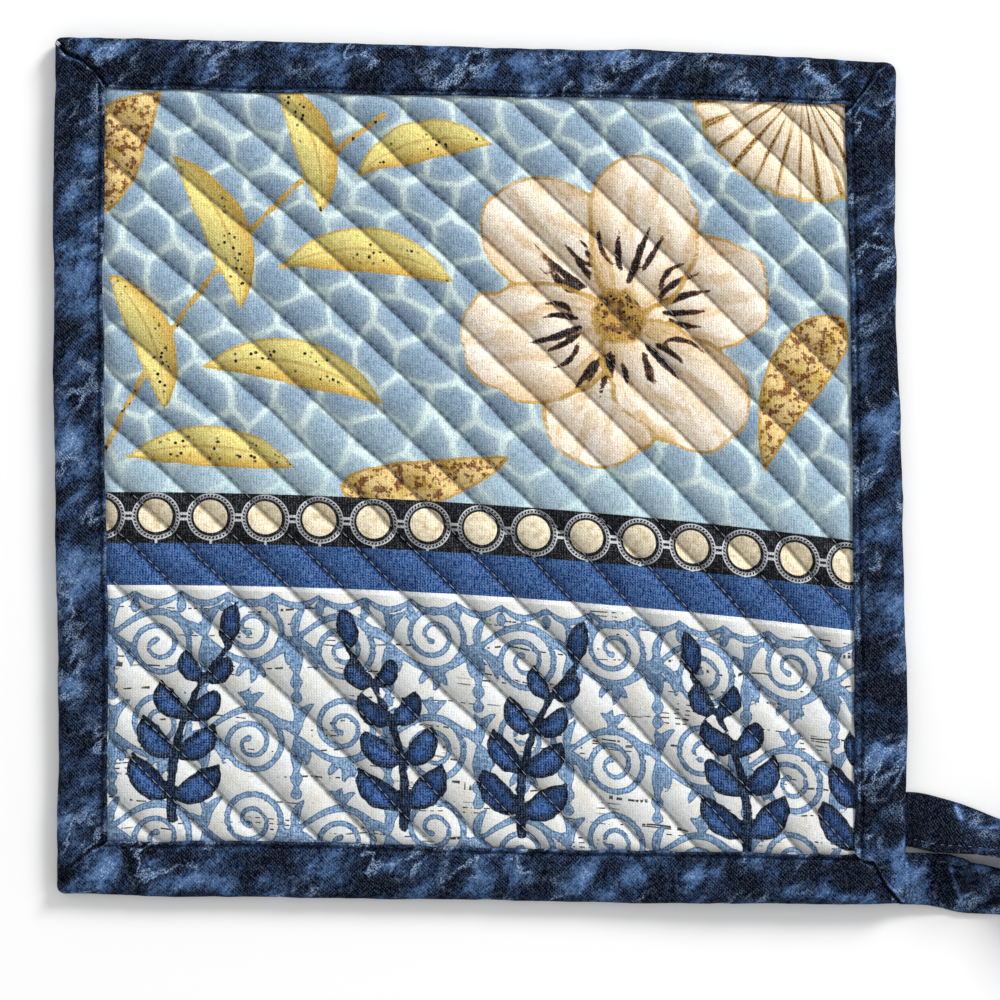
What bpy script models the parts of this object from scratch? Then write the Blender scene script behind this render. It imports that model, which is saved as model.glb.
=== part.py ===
"""Quilted pot holder.

A square pad of printed cotton, wadding and backing, sewn through in slanting channels, with a
folded binding around its edge. The tail of the binding goes on past one corner, twists up on edge,
turns and comes back under the binding as a hanging loop.

The frame: the pad lies on z = 0 with its face up, +X runs towards the loop, and the origin is the
middle of the underside. Sizes in the tables are in millimetres.
"""
import math
from collections import namedtuple

import bmesh
import bpy
from mathutils import Vector

MM = 0.001
COLLECTION = "pot_holder"

# The outline. Each corner has its place at the outer edge of the binding, the radius by which it is
# rounded there, and its place at the inner edge, where the binding meets the face of the pad.
Corner = namedtuple("Corner", "name outer_x outer_y rounding inner_x inner_y")
CORNERS = (
    Corner("top_left", -108.2, 111.0, 2.0, -95.2, 97.9),
    Corner("bottom_left", -107.9, -107.8, 2.6, -94.7, -94.2),
    Corner("bottom_right", 109.0, -110.2, 1.4, 95.9, -97.4),
    Corner("top_right", 106.8, 104.6, 3.4, 93.5, 93.7),
)
INNER_ROUNDING = 0.5

# How far each side swells out of the straight line between its corners, at a quarter, a half and
# three quarters of its length. A side starts at the corner in the same row above.
Side = namedtuple("Side", "name outer_1 outer_2 outer_3 inner_1 inner_2 inner_3")
SIDES = (
    Side("left", 0.6, 0.3, -0.6, 0.7, 0.3, -0.4),
    Side("bottom", 0.3, 0.5, 0.6, -0.8, 0.0, 0.0),
    Side("right", 0.8, 0.4, -0.7, 0.5, 0.8, 0.6),
    Side("top", 1.4, 0.6, 0.9, 0.4, 0.0, -0.2),
)
SIDE_STEPS = 8
CORNER_STEPS = 4

# The layers at the edge: the binding's cloth, the gap to the pad inside it, and the fold.
GAP = 0.35
CLOTH = 1.0
EDGE_THICKNESS = 4.6
BINDING_WIDTH = 12.9
FOLD_RADIUS = 1.2
HEM_CHAMFER = 0.4

# The quilting: parallel lines of sewing that slant down to the right, bend slightly downwards to
# both ends, fan out a little, and lie closer together in the upper right corner. QUILT_BOW and
# QUILT_FAN are the bend and the narrowing at QUILT_REACH from the middle.
QUILT_ANGLE = math.radians(44.9)
CHANNEL = 9.89
CHANNEL_PHASE = 0.434
QUILT_BOW = 2.87
QUILT_FAN = 0.91
QUILT_REACH = 100.0
FIRST_LINE = -14
LAST_LINE = 14
LAST_EVEN_LINE = 8
TIGHTER_BY = 0.65

# The heights of the channels. Underneath, the middle of each is pressed flat by the surface that
# the pad lies on, for FLAT_CREST of its width at most.
VALLEY_TOP = 3.2
CREST_TOP = 5.2
VALLEY_UNDER = 1.4
FLAT_CREST = 0.6
ROUNDNESS = 0.72

# Where the loft starts inside the binding, and where it is full.
SHOULDER_START = 1.2
SHOULDER_END = 4.2

# How finely the pad is cut before its faces are puffed.
CHANNEL_CUTS = 6
CROSS_CUT = 20.0
CROSS_CUTS = 8
BORDER_CUTS = 24
WELD = 0.12
QUILTED = 1

# The corner that lies on the end of the loop is raised by it, between two slanting lines.
RAISE = 1.5
RAISE_START = 98.0
RAISE_END = 125.0

# The loop: the place of its outer edge along the strip, how high that edge is, and how far the
# strip is rolled up on that edge, in degrees.
STRIP_WIDTH = 14.0
STRIP_THICKNESS = 1.2
Section = namedtuple("Section", "x y height roll")
LOOP = (
    Section(109.4, -110.4, 2.2, 0),
    Section(114.3, -110.7, 1.5, 2),
    Section(118.5, -111.6, 0.6, 6),
    Section(123.0, -112.8, 0.0, 12),
    Section(128.0, -113.2, 0.0, 20),
    Section(133.0, -113.4, 0.0, 31),
    Section(139.0, -114.0, 0.0, 43),
    Section(146.0, -115.2, 0.0, 55),
    Section(153.0, -116.1, 0.0, 65),
    Section(160.0, -115.6, 0.0, 72),
    Section(166.0, -112.9, 0.0, 75),
    Section(170.2, -108.4, 0.0, 76),
    Section(171.8, -102.7, 0.0, 77),
    Section(170.5, -97.0, 0.0, 76),
    Section(166.4, -92.3, 0.0, 75),
    Section(160.6, -89.7, 0.0, 72),
    Section(153.8, -89.0, 0.0, 67),
    Section(147.0, -89.4, 0.0, 61),
    Section(141.2, -89.8, 0.0, 55),
    Section(136.8, -89.4, 0.0, 50),
    Section(132.8, -88.3, 0.0, 44),
    Section(127.6, -86.2, 0.0, 33),
    Section(122.6, -84.4, 0.0, 23),
    Section(118.4, -83.1, 0.0, 17),
    Section(114.2, -82.2, 0.0, 7),
    Section(110.6, -81.9, 0.0, 0),
    Section(104.0, -81.9, 0.0, 0),
    Section(97.4, -82.1, 0.0, 0),
)

# name: base colour, roughness
MATERIALS = {
    "quilted_pad": ((0.35, 0.50, 0.62, 1.0), 0.9),
    "edge_binding": ((0.020, 0.035, 0.090, 1.0), 0.85),
    "hanging_loop": ((0.024, 0.040, 0.100, 1.0), 0.85),
}


def clear_scene():
    for item in list(bpy.data.objects):
        bpy.data.objects.remove(item, do_unlink=True)


def make_material(name):
    colour, roughness = MATERIALS[name]
    material = bpy.data.materials.new(name)
    material.use_nodes = True
    shader = material.node_tree.nodes["Principled BSDF"]
    shader.inputs["Base Color"].default_value = colour
    shader.inputs["Roughness"].default_value = roughness
    shader.inputs["Metallic"].default_value = 0.0
    material.diffuse_color = colour
    return material


def add_object(name, mesh_data, collection):
    """Puts a finished mesh, worked out in millimetres, into the scene in metres."""
    bmesh.ops.triangulate(mesh_data, faces=mesh_data.faces[:])
    bmesh.ops.recalc_face_normals(mesh_data, faces=mesh_data.faces[:])
    bmesh.ops.scale(mesh_data, vec=(MM, MM, MM), verts=mesh_data.verts[:])
    mesh = bpy.data.meshes.new(name)
    mesh_data.to_mesh(mesh)
    mesh_data.free()
    mesh.materials.append(make_material(name))
    part = bpy.data.objects.new(name, mesh)
    collection.objects.link(part)
    return part


def slice_faces(mesh_data, faces, point, normal):
    """Cuts the faces along a plane and keeps both sides."""
    edges = {edge for face in faces for edge in face.edges}
    verts = {vert for face in faces for vert in face.verts}
    bmesh.ops.bisect_plane(
        mesh_data,
        geom=list(verts) + list(edges) + list(faces),
        dist=1e-5,
        plane_co=point,
        plane_no=normal,
    )


def join_loops(mesh_data, loops, closed):
    """Skins a ring or a tube: each loop to the next, and the last to the first if closed."""
    count = len(loops)
    for index in range(count if closed else count - 1):
        here = loops[index]
        there = loops[(index + 1) % count]
        for step in range(len(here)):
            after = (step + 1) % len(here)
            mesh_data.faces.new((here[step], here[after], there[after], there[step]))


# ---- outline ----

def swell(knots, place):
    """A smooth curve through evenly spaced knots, for a place from 0 to 1."""
    last = len(knots) - 1
    index = min(int(place * last), last - 1)
    before = knots[max(index - 1, 0)]
    start = knots[index]
    end = knots[index + 1]
    after = knots[min(index + 2, last)]
    t = place * last - index
    slope_in = (end - before) / 2
    slope_out = (after - start) / 2
    return (
        (2 * t**3 - 3 * t**2 + 1) * start
        + (t**3 - 2 * t**2 + t) * slope_in
        + (3 * t**2 - 2 * t**3) * end
        + (t**3 - t**2) * slope_out
    )


def side_point(start, end, knots, place):
    along = end - start
    outward = Vector((along.y, -along.x)).normalized()
    return start + along * place + outward * swell(knots, place)


def ring(corners, roundings, bows):
    """The points of an outline, anticlockwise, with the same steps on every ring."""
    count = len(corners)
    sides = []
    for index in range(count):
        start = corners[index]
        end = corners[(index + 1) % count]
        length = (end - start).length
        first = roundings[index] / length
        last = 1 - roundings[(index + 1) % count] / length
        places = [first + (last - first) * step / SIDE_STEPS for step in range(SIDE_STEPS + 1)]
        sides.append([side_point(start, end, bows[index], place) for place in places])
    points = []
    for index in range(count):
        points += sides[index]
        start = sides[index][-1]
        middle = corners[(index + 1) % count]
        end = sides[(index + 1) % count][0]
        for step in range(1, CORNER_STEPS):
            t = step / CORNER_STEPS
            points.append(start * (1 - t) ** 2 + middle * 2 * t * (1 - t) + end * t**2)
    return points


def outer_ring():
    corners = [Vector((corner.outer_x, corner.outer_y)) for corner in CORNERS]
    roundings = [corner.rounding for corner in CORNERS]
    bows = [(0, side.outer_1, side.outer_2, side.outer_3, 0) for side in SIDES]
    return ring(corners, roundings, bows)


def inner_corners():
    return [Vector((corner.inner_x, corner.inner_y)) for corner in CORNERS]


def inner_ring():
    roundings = [INNER_ROUNDING] * len(CORNERS)
    bows = [(0, side.inner_1, side.inner_2, side.inner_3, 0) for side in SIDES]
    return ring(inner_corners(), roundings, bows)


def ring_at(distance):
    """The outline that lies a distance inside the outer edge, measured square to the sides."""
    share = distance / BINDING_WIDTH
    return [outer.lerp(inner, share) for outer, inner in zip(outer_ring(), inner_ring())]


# ---- the raised corner ----

def raise_corner(mesh_data):
    """Lifts the corner over the loop's end by one thickness, with both slopes cut in first."""
    slant = Vector((1, -1, 0)).normalized()
    for distance in (RAISE_START, RAISE_END):
        slice_faces(mesh_data, mesh_data.faces[:], slant * distance, slant)
    for vert in mesh_data.verts:
        share = (vert.co.dot(slant) - RAISE_START) / (RAISE_END - RAISE_START)
        vert.co.z += RAISE * min(max(share, 0.0), 1.0)


# ---- quilting ----

def line_offset(line):
    """How far a line of quilting lies from the middle, where it crosses the slanting axis."""
    return CHANNEL * (line + CHANNEL_PHASE) - TIGHTER_BY * max(0.0, line - LAST_EVEN_LINE)


def line_at(offset):
    """The line, with its fraction, whose offset this is."""
    line = offset / CHANNEL - CHANNEL_PHASE
    if line <= LAST_EVEN_LINE:
        return line
    past = CHANNEL * (line - LAST_EVEN_LINE) / (CHANNEL - TIGHTER_BY)
    return LAST_EVEN_LINE + past


def to_quilt(x, y):
    """From the plan to the quilting's own axes, where its lines are straight."""
    along = x * math.cos(QUILT_ANGLE) - y * math.sin(QUILT_ANGLE)
    across = x * math.sin(QUILT_ANGLE) + y * math.cos(QUILT_ANGLE)
    reach = along / QUILT_REACH
    offset = (across + QUILT_BOW * reach**2) / (1 - QUILT_FAN * reach / QUILT_REACH)
    return along, offset


def from_quilt(along, offset):
    reach = along / QUILT_REACH
    across = offset * (1 - QUILT_FAN * reach / QUILT_REACH) - QUILT_BOW * reach**2
    x = along * math.cos(QUILT_ANGLE) + across * math.sin(QUILT_ANGLE)
    y = across * math.cos(QUILT_ANGLE) - along * math.sin(QUILT_ANGLE)
    return x, y


def inside_binding(x, y):
    """How far a point lies inside the nearest straight inner side of the binding."""
    corners = inner_corners()
    distances = []
    for index, start in enumerate(corners):
        along = (corners[(index + 1) % len(corners)] - start).normalized()
        inward = Vector((-along.y, along.x))
        distances.append((Vector((x, y)) - start).dot(inward))
    return min(distances)


def shoulder(x, y):
    """0 under the binding and 1 where the wadding has its full loft."""
    share = (inside_binding(x, y) - SHOULDER_START) / (SHOULDER_END - SHOULDER_START)
    share = min(max(share, 0.0), 1.0)
    return math.sin(share * math.pi / 2)


def channel_place(x, y):
    """Where a point lies in its channel: 0 at a line of sewing, 1 at the next."""
    offset = to_quilt(x, y)[1]
    return line_at(offset) % 1.0


def top_height(x, y):
    crest = math.sin(math.pi * channel_place(x, y)) ** ROUNDNESS
    quilted = VALLEY_TOP + (CREST_TOP - VALLEY_TOP) * crest
    tongue = EDGE_THICKNESS - CLOTH - GAP
    return tongue + (quilted - tongue) * shoulder(x, y)


def under_height(x, y):
    crest = math.sin(math.pi * channel_place(x, y)) ** ROUNDNESS
    flattened = min(crest / math.sin(math.pi * (1 - FLAT_CREST) / 2) ** ROUNDNESS, 1.0)
    quilted = VALLEY_UNDER * (1 - flattened)
    tongue = CLOTH + GAP
    return tongue + (quilted - tongue) * shoulder(x, y)


def slice_quilted(sheet, point, normal):
    faces = [face for face in sheet.faces if face.material_index == QUILTED]
    slice_faces(sheet, faces, point, normal)


def slice_channels(sheet):
    """Cuts the face inside the binding along each line of sewing, between them, and across."""
    for vert in sheet.verts:
        along, offset = to_quilt(vert.co.x, vert.co.y)
        vert.co = (along, offset, 0)
    for line in range(FIRST_LINE, LAST_LINE + 1):
        for cut in range(CHANNEL_CUTS):
            offset = line_offset(line + cut / CHANNEL_CUTS)
            slice_quilted(sheet, (0, offset, 0), (0, 1, 0))
    for step in range(-CROSS_CUTS, CROSS_CUTS + 1):
        slice_quilted(sheet, (step * CROSS_CUT, 0, 0), (1, 0, 0))
    for vert in sheet.verts:
        x, y = from_quilt(vert.co.x, vert.co.y)
        vert.co = (x, y, 0)


def slice_shoulder(sheet, distance):
    """Cuts the sheet along four lines that lie a distance inside the binding's inner edge."""
    corners = inner_corners()
    for index, start in enumerate(corners):
        along = (corners[(index + 1) % len(corners)] - start).normalized()
        inward = Vector((-along.y, along.x))
        point = start + inward * distance
        slice_quilted(sheet, point.to_3d(), inward.to_3d())


def mark_quilted(sheet):
    """Marks the face that shows inside the binding, and leaves the tongue around it plain."""
    for face in sheet.faces:
        face.material_index = QUILTED
    slice_shoulder(sheet, SHOULDER_START)
    for face in sheet.faces:
        middle = face.calc_center_median()
        shown = inside_binding(middle.x, middle.y) > SHOULDER_START
        face.material_index = QUILTED if shown else 0
        if shown:
            bmesh.ops.subdivide_edges(sheet, edges=face.edges[:], cuts=BORDER_CUTS)


def build_pad(collection):
    """One filled solid: a sheet cut along its quilting, extruded, with both faces puffed."""
    sheet = bmesh.new()
    outline = [sheet.verts.new((x, y, 0)) for x, y in ring_at(CLOTH + GAP)]
    sheet.faces.new(outline)
    mark_quilted(sheet)
    slice_channels(sheet)
    slice_shoulder(sheet, (SHOULDER_START + SHOULDER_END) / 2)
    slice_shoulder(sheet, SHOULDER_END)
    bmesh.ops.remove_doubles(sheet, verts=sheet.verts[:], dist=WELD)
    bmesh.ops.dissolve_degenerate(sheet, edges=sheet.edges[:], dist=WELD / 2)
    under = sheet.verts[:]
    extruded = bmesh.ops.extrude_face_region(sheet, geom=sheet.faces[:], use_keep_orig=True)
    top = [item for item in extruded["geom"] if isinstance(item, bmesh.types.BMVert)]
    for vert in top:
        vert.co.z = top_height(vert.co.x, vert.co.y)
    for vert in under:
        vert.co.z = under_height(vert.co.x, vert.co.y)
    for face in sheet.faces:
        face.material_index = 0
    raise_corner(sheet)
    return add_object("quilted_pad", sheet, collection)


# ---- binding ----

def binding_section():
    """The folded strip cut across: distance from the outer edge, and height."""
    width = BINDING_WIDTH
    top = EDGE_THICKNESS
    bend = FOLD_RADIUS * (1 - math.sqrt(0.5))
    return (
        (0, FOLD_RADIUS),
        (bend, bend),
        (FOLD_RADIUS, 0),
        (width, 0),
        (width, CLOTH),
        (CLOTH, CLOTH),
        (CLOTH, top - CLOTH),
        (width, top - CLOTH),
        (width, top - HEM_CHAMFER),
        (width - HEM_CHAMFER, top),
        (FOLD_RADIUS, top),
        (bend, top - bend),
        (0, top - FOLD_RADIUS),
    )


def build_binding(collection):
    """One folded strip around all four sides, mitred at its corners."""
    mesh_data = bmesh.new()
    loops = []
    for distance, height in binding_section():
        loops.append([mesh_data.verts.new((x, y, height)) for x, y in ring_at(distance)])
    join_loops(mesh_data, loops, closed=True)
    raise_corner(mesh_data)
    return add_object("edge_binding", mesh_data, collection)


# ---- loop ----

def path_direction(index):
    before = LOOP[max(index - 1, 0)]
    after = LOOP[min(index + 1, len(LOOP) - 1)]
    return Vector((after.x - before.x, after.y - before.y)).normalized()


def strip_section(index):
    """The four corners of the strip, rolled up on its outer lower edge."""
    place = LOOP[index]
    along = path_direction(index)
    inward = Vector((-along.y, along.x, 0))
    roll = math.radians(place.roll)
    across = inward * math.cos(roll) + Vector((0, 0, math.sin(roll)))
    out = Vector((0, 0, math.cos(roll))) - inward * math.sin(roll)
    edge = Vector((place.x, place.y, place.height)) + inward * STRIP_THICKNESS * math.sin(roll)
    return (
        edge,
        edge + across * STRIP_WIDTH,
        edge + across * STRIP_WIDTH + out * STRIP_THICKNESS,
        edge + out * STRIP_THICKNESS,
    )


def build_loop(collection):
    """The tail of the binding, folded double, that twists on edge and comes back."""
    mesh_data = bmesh.new()
    loops = []
    for index in range(len(LOOP)):
        loops.append([mesh_data.verts.new(corner) for corner in strip_section(index)])
    join_loops(mesh_data, loops, closed=False)
    mesh_data.faces.new(loops[0])
    mesh_data.faces.new(loops[-1])
    return add_object("hanging_loop", mesh_data, collection)


def main():
    clear_scene()
    collection = bpy.data.collections.new(COLLECTION)
    bpy.context.scene.collection.children.link(collection)
    build_pad(collection)
    build_binding(collection)
    build_loop(collection)


main()
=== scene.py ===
"""Looks of the quilted pot holder: printed and quilted cloth, marbled binding, loop and sewing.

Everything is worked out in millimetres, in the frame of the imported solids, and made in metres.
"""
import math
from collections import namedtuple

import bmesh
import bpy
import numpy as np
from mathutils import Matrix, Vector


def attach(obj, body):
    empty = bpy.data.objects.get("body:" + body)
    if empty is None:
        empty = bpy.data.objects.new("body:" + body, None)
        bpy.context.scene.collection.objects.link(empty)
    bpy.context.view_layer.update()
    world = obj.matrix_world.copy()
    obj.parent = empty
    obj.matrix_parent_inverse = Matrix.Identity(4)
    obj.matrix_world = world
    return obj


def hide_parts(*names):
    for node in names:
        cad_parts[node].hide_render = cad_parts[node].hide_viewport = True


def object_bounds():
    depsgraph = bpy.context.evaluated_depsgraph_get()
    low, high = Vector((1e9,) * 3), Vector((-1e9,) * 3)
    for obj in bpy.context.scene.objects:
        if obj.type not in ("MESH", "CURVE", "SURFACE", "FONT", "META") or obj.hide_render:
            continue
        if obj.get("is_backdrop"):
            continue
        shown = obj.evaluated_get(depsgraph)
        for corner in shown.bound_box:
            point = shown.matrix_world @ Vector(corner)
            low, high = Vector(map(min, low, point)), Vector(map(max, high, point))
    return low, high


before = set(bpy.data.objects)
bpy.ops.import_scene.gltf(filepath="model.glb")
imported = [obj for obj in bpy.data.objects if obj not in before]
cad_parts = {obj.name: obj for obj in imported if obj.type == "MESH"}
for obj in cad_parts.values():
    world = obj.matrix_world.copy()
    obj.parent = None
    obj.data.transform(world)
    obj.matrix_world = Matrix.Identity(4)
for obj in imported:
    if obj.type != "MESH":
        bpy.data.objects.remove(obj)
cad_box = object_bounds()

MM = 0.001
BODY = "root"

# ---- the shapes of the solids, repeated in millimetres ----

Corner = namedtuple("Corner", "name outer_x outer_y rounding inner_x inner_y")
CORNERS = (
    Corner("top_left", -108.2, 111.0, 2.0, -95.2, 97.9),
    Corner("bottom_left", -107.9, -107.8, 2.6, -94.7, -94.2),
    Corner("bottom_right", 109.0, -110.2, 1.4, 95.9, -97.4),
    Corner("top_right", 106.8, 104.6, 3.4, 93.5, 93.7),
)
INNER_ROUNDING = 0.5
Side = namedtuple("Side", "name outer_1 outer_2 outer_3 inner_1 inner_2 inner_3")
SIDES = (
    Side("left", 0.6, 0.3, -0.6, 0.7, 0.3, -0.4),
    Side("bottom", 0.3, 0.5, 0.6, -0.8, 0.0, 0.0),
    Side("right", 0.8, 0.4, -0.7, 0.5, 0.8, 0.6),
    Side("top", 1.4, 0.6, 0.9, 0.4, 0.0, -0.2),
)
LEFT, BOTTOM, RIGHT, TOP = range(4)

GAP = 0.35
CLOTH = 1.0
EDGE_THICKNESS = 4.6
BINDING_WIDTH = 12.9

QUILT_ANGLE = math.radians(44.9)
CHANNEL = 9.89
CHANNEL_PHASE = 0.434
QUILT_BOW = 2.87
QUILT_FAN = 0.91
QUILT_REACH = 100.0
FIRST_LINE = -14
LAST_LINE = 14
LAST_EVEN_LINE = 8
TIGHTER_BY = 0.65
VALLEY_TOP = 3.2
CREST_TOP = 5.2
VALLEY_UNDER = 1.4
FLAT_CREST = 0.6
ROUNDNESS = 0.72
SHOULDER_START = -0.3
SHOULDER_END = 3.0

RAISE = 1.5
RAISE_START = 98.0
RAISE_END = 125.0

# the loop: the place and height of its outer edge, and its roll on that edge in degrees
STRIP_WIDTH = 14.0
STRIP_THICKNESS = 1.2
Section = namedtuple("Section", "x y height roll")
LOOP = [Section(*row) for row in (
    (109.4, -110.4, 2.2, 0),
    (114.3, -110.7, 1.5, 2),
    (118.5, -111.6, 0.6, 6),
    (123.0, -112.8, 0.0, 12),
    (128.0, -113.2, 0.0, 20),
    (133.0, -113.4, 0.0, 31),
    (139.0, -114.0, 0.0, 43),
    (146.0, -115.2, 0.0, 55),
    (153.0, -116.1, 0.0, 65),
    (160.0, -115.6, 0.0, 72),
    (166.0, -112.9, 0.0, 75),
    (170.2, -108.4, 0.0, 76),
    (171.8, -102.7, 0.0, 77),
    (170.5, -97.0, 0.0, 76),
    (166.4, -92.3, 0.0, 75),
    (160.6, -89.7, 0.0, 72),
    (153.8, -89.0, 0.0, 67),
    (147.0, -89.4, 0.0, 61),
    (141.2, -89.8, 0.0, 58),
    (136.8, -89.4, 0.0, 55),
    (132.8, -88.3, 0.0, 51),
    (127.6, -86.2, 0.0, 39),
    (122.6, -84.4, 0.0, 24),
    (118.4, -83.3, 0.0, 11),
    (114.2, -82.3, 0.0, 4),
    (110.6, -81.9, 0.0, 0),
    (104.0, -81.9, 0.0, 0),
    (97.4, -82.1, 0.0, 0),
)]

# ---- how finely the pieces are cut ----

FRONT_CUTS = (0.0, 0.012, 0.03, 0.056, 0.096, 0.16, 0.26, 0.38)
FRONT_STEP = 0.68
BACK_CUTS = (0.0, 0.04, 0.1, 0.2, 0.35)
BACK_STEP = 1.2
TONGUE = 3.0
SIDE_STEPS = 260
DENSE_STEPS = 40
DENSE_PART = 0.07
CORNER_STEPS = 16
LOOP_STEPS = 16


# ---- small helpers ----

def lattice(column, row, seed):
    """A fixed random number from -1 to 1 for each point of a square lattice."""
    value = np.sin(column * 127.1 + row * 311.7 + seed * 74.7) * 43758.5453
    return 2 * (value - np.floor(value)) - 1


def soft_noise(x, y, seed):
    """Smooth random relief from -1 to 1, with features about one unit wide."""
    column, row = np.floor(x), np.floor(y)
    across, up = (part * part * (3 - 2 * part) for part in (x - column, y - row))
    low, high = (
        lattice(column, level, seed) * (1 - across) + lattice(column + 1, level, seed) * across
        for level in (row, row + 1)
    )
    return low * (1 - up) + high * up


def layered_noise(x, y, layers):
    """Random relief in layers, each with its height, its size along x and y, and its seed."""
    return sum(height * soft_noise(x / wide, y / high, seed) for height, wide, high, seed in layers)


def hump(distance, width):
    """A soft bump, 1 in the middle."""
    return np.exp(-(distance / width) ** 2)


def running(points):
    """The way along a line of flat points, from 0 at the first."""
    return np.concatenate(([0.0], np.cumsum(np.hypot(*np.diff(points, axis=0).T))))


def curve(rows, places):
    """Values on a smooth curve through even rows, at places from 0 to 1 (Catmull-Rom)."""
    rows = np.array(rows, dtype=float)
    last = len(rows) - 1
    index = np.minimum((places * last).astype(int), last - 1)
    before, start, end, after = (rows[np.clip(index + step, 0, last)] for step in (-1, 0, 1, 2))
    t = (places * last - index).reshape((-1,) + (1,) * (rows.ndim - 1))
    return (
        (2 * t**3 - 3 * t**2 + 1) * start
        + (t**3 - 2 * t**2 + t) * (end - before) / 2
        + (3 * t**2 - 2 * t**3) * end
        + (t**3 - t**2) * (after - start) / 2
    )


def make_object(name, points, faces, material):
    """A smooth mesh object from points in millimetres."""
    mesh = bpy.data.meshes.new(name)
    mesh.from_pydata((np.asarray(points) * MM).tolist(), [], faces)
    mesh.update()
    return link_mesh(name, mesh, material)


def link_mesh(name, mesh, material):
    mesh.shade_smooth()
    mesh.materials.append(material)
    piece = bpy.data.objects.new(name, mesh)
    bpy.context.scene.collection.objects.link(piece)
    return piece


def add_numbers(mesh, name, values):
    layer = mesh.attributes.new(name, "FLOAT", "POINT")
    layer.data.foreach_set("value", np.ascontiguousarray(values, dtype=np.float32))


def add_vectors(mesh, name, columns):
    layer = mesh.attributes.new(name, "FLOAT_VECTOR", "POINT")
    layer.data.foreach_set("vector", np.stack(columns, axis=1).astype(np.float32).ravel())


def mesh_points(mesh):
    """The x, y and z of a mesh's points, in millimetres."""
    flat = np.empty(len(mesh.vertices) * 3, dtype=np.float32)
    mesh.vertices.foreach_get("co", flat)
    return flat.reshape(-1, 3).astype(float).T / MM


def ring_faces(first, count, rings, closed):
    """Quads that join rings of points that follow each other, each of the same count."""
    faces = []
    for ring in range(rings if closed else rings - 1):
        here = first + ring * count
        there = first + (ring + 1) % rings * count
        for step in range(count):
            after = (step + 1) % count
            faces.append((here + step, here + after, there + after, there + step))
    return faces


def end_faces(first, count, rings):
    """The faces that close a tube of rings at both ends."""
    last = first + count * (rings - 1)
    return [tuple(range(first, first + count))[::-1], tuple(range(last, last + count))]


def raised(x, y, z):
    """Lifts the corner that lies on the loop's end."""
    share = ((x - y) / math.sqrt(2) - RAISE_START) / (RAISE_END - RAISE_START)
    return z + RAISE * np.clip(share, 0, 1)


# ---- outline ----

def outline_ring(corners, roundings, bows):
    """The points of an outline, anticlockwise from the top left corner down."""
    spread = np.interp(
        np.arange(SIDE_STEPS + 1),
        (0, DENSE_STEPS, SIDE_STEPS - DENSE_STEPS, SIDE_STEPS),
        (0, DENSE_PART, 1 - DENSE_PART, 1),
    )
    sides = []
    for index, start in enumerate(corners):
        after = (index + 1) % 4
        along = corners[after] - start
        length = np.hypot(*along)
        outward = np.array((along[1], -along[0])) / length
        first = roundings[index] / length
        last = 1 - roundings[after] / length
        places = first + (last - first) * spread
        bow = curve((0, *bows[index], 0), places)
        sides.append(start + np.outer(places, along) + np.outer(bow, outward))
    points = []
    t = np.arange(1, CORNER_STEPS)[:, None] / CORNER_STEPS
    for index in range(4):
        after = (index + 1) % 4
        start, middle, end = sides[index][-1], corners[after], sides[after][0]
        points.append(sides[index])
        points.append(start * (1 - t) ** 2 + middle * 2 * t * (1 - t) + end * t**2)
    return np.concatenate(points)


STATIONS_PER_SIDE = SIDE_STEPS + CORNER_STEPS
INNER_CORNERS = [np.array((corner.inner_x, corner.inner_y)) for corner in CORNERS]
OUTER_RING = outline_ring(
    [np.array((corner.outer_x, corner.outer_y)) for corner in CORNERS],
    [corner.rounding for corner in CORNERS],
    [side[1:4] for side in SIDES],
)
INNER_RING = outline_ring(INNER_CORNERS, [INNER_ROUNDING] * 4, [side[4:] for side in SIDES])


def ring_at(distance):
    """The outline that lies a distance inside the outer edge."""
    share = distance / BINDING_WIDTH
    return OUTER_RING * (1 - share) + INNER_RING * share


def outward_of(points):
    along = np.roll(points, -1, axis=0) - np.roll(points, 1, axis=0)
    return np.stack((along[:, 1], -along[:, 0]), axis=1) / np.hypot(*along.T)[:, None]


MIDDLE_RING = ring_at(BINDING_WIDTH / 2)
OUTWARD = outward_of(MIDDLE_RING)
WAY = running(np.vstack((MIDDLE_RING, MIDDLE_RING[:1])))
ROUND_WAY = WAY[-1]
MITRES = [WAY[side * STATIONS_PER_SIDE + SIDE_STEPS + CORNER_STEPS // 2] for side in range(4)]

# ---- quilting ----

def line_offset(line):
    return CHANNEL * (line + CHANNEL_PHASE) - TIGHTER_BY * np.maximum(0.0, line - LAST_EVEN_LINE)


def line_at(offset):
    line = offset / CHANNEL - CHANNEL_PHASE
    past = LAST_EVEN_LINE + CHANNEL * (line - LAST_EVEN_LINE) / (CHANNEL - TIGHTER_BY)
    return np.where(line <= LAST_EVEN_LINE, line, past)


def to_quilt(x, y):
    along = x * math.cos(QUILT_ANGLE) - y * math.sin(QUILT_ANGLE)
    across = x * math.sin(QUILT_ANGLE) + y * math.cos(QUILT_ANGLE)
    reach = along / QUILT_REACH
    return along, (across + QUILT_BOW * reach**2) / (1 - QUILT_FAN * reach / QUILT_REACH)


def from_quilt(along, offset):
    reach = along / QUILT_REACH
    across = offset * (1 - QUILT_FAN * reach / QUILT_REACH) - QUILT_BOW * reach**2
    x = along * math.cos(QUILT_ANGLE) + across * math.sin(QUILT_ANGLE)
    return x, across * math.cos(QUILT_ANGLE) - along * math.sin(QUILT_ANGLE)


def inside_binding(x, y):
    """How far points lie inside the straight lines between the binding's inner corners."""
    nearest_side = np.full(np.shape(x), np.inf)
    for index, start in enumerate(INNER_CORNERS):
        along = INNER_CORNERS[(index + 1) % 4] - start
        along = along / np.hypot(*along)
        inside = (y - start[1]) * along[0] - (x - start[0]) * along[1]
        nearest_side = np.minimum(nearest_side, inside)
    return nearest_side


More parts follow.
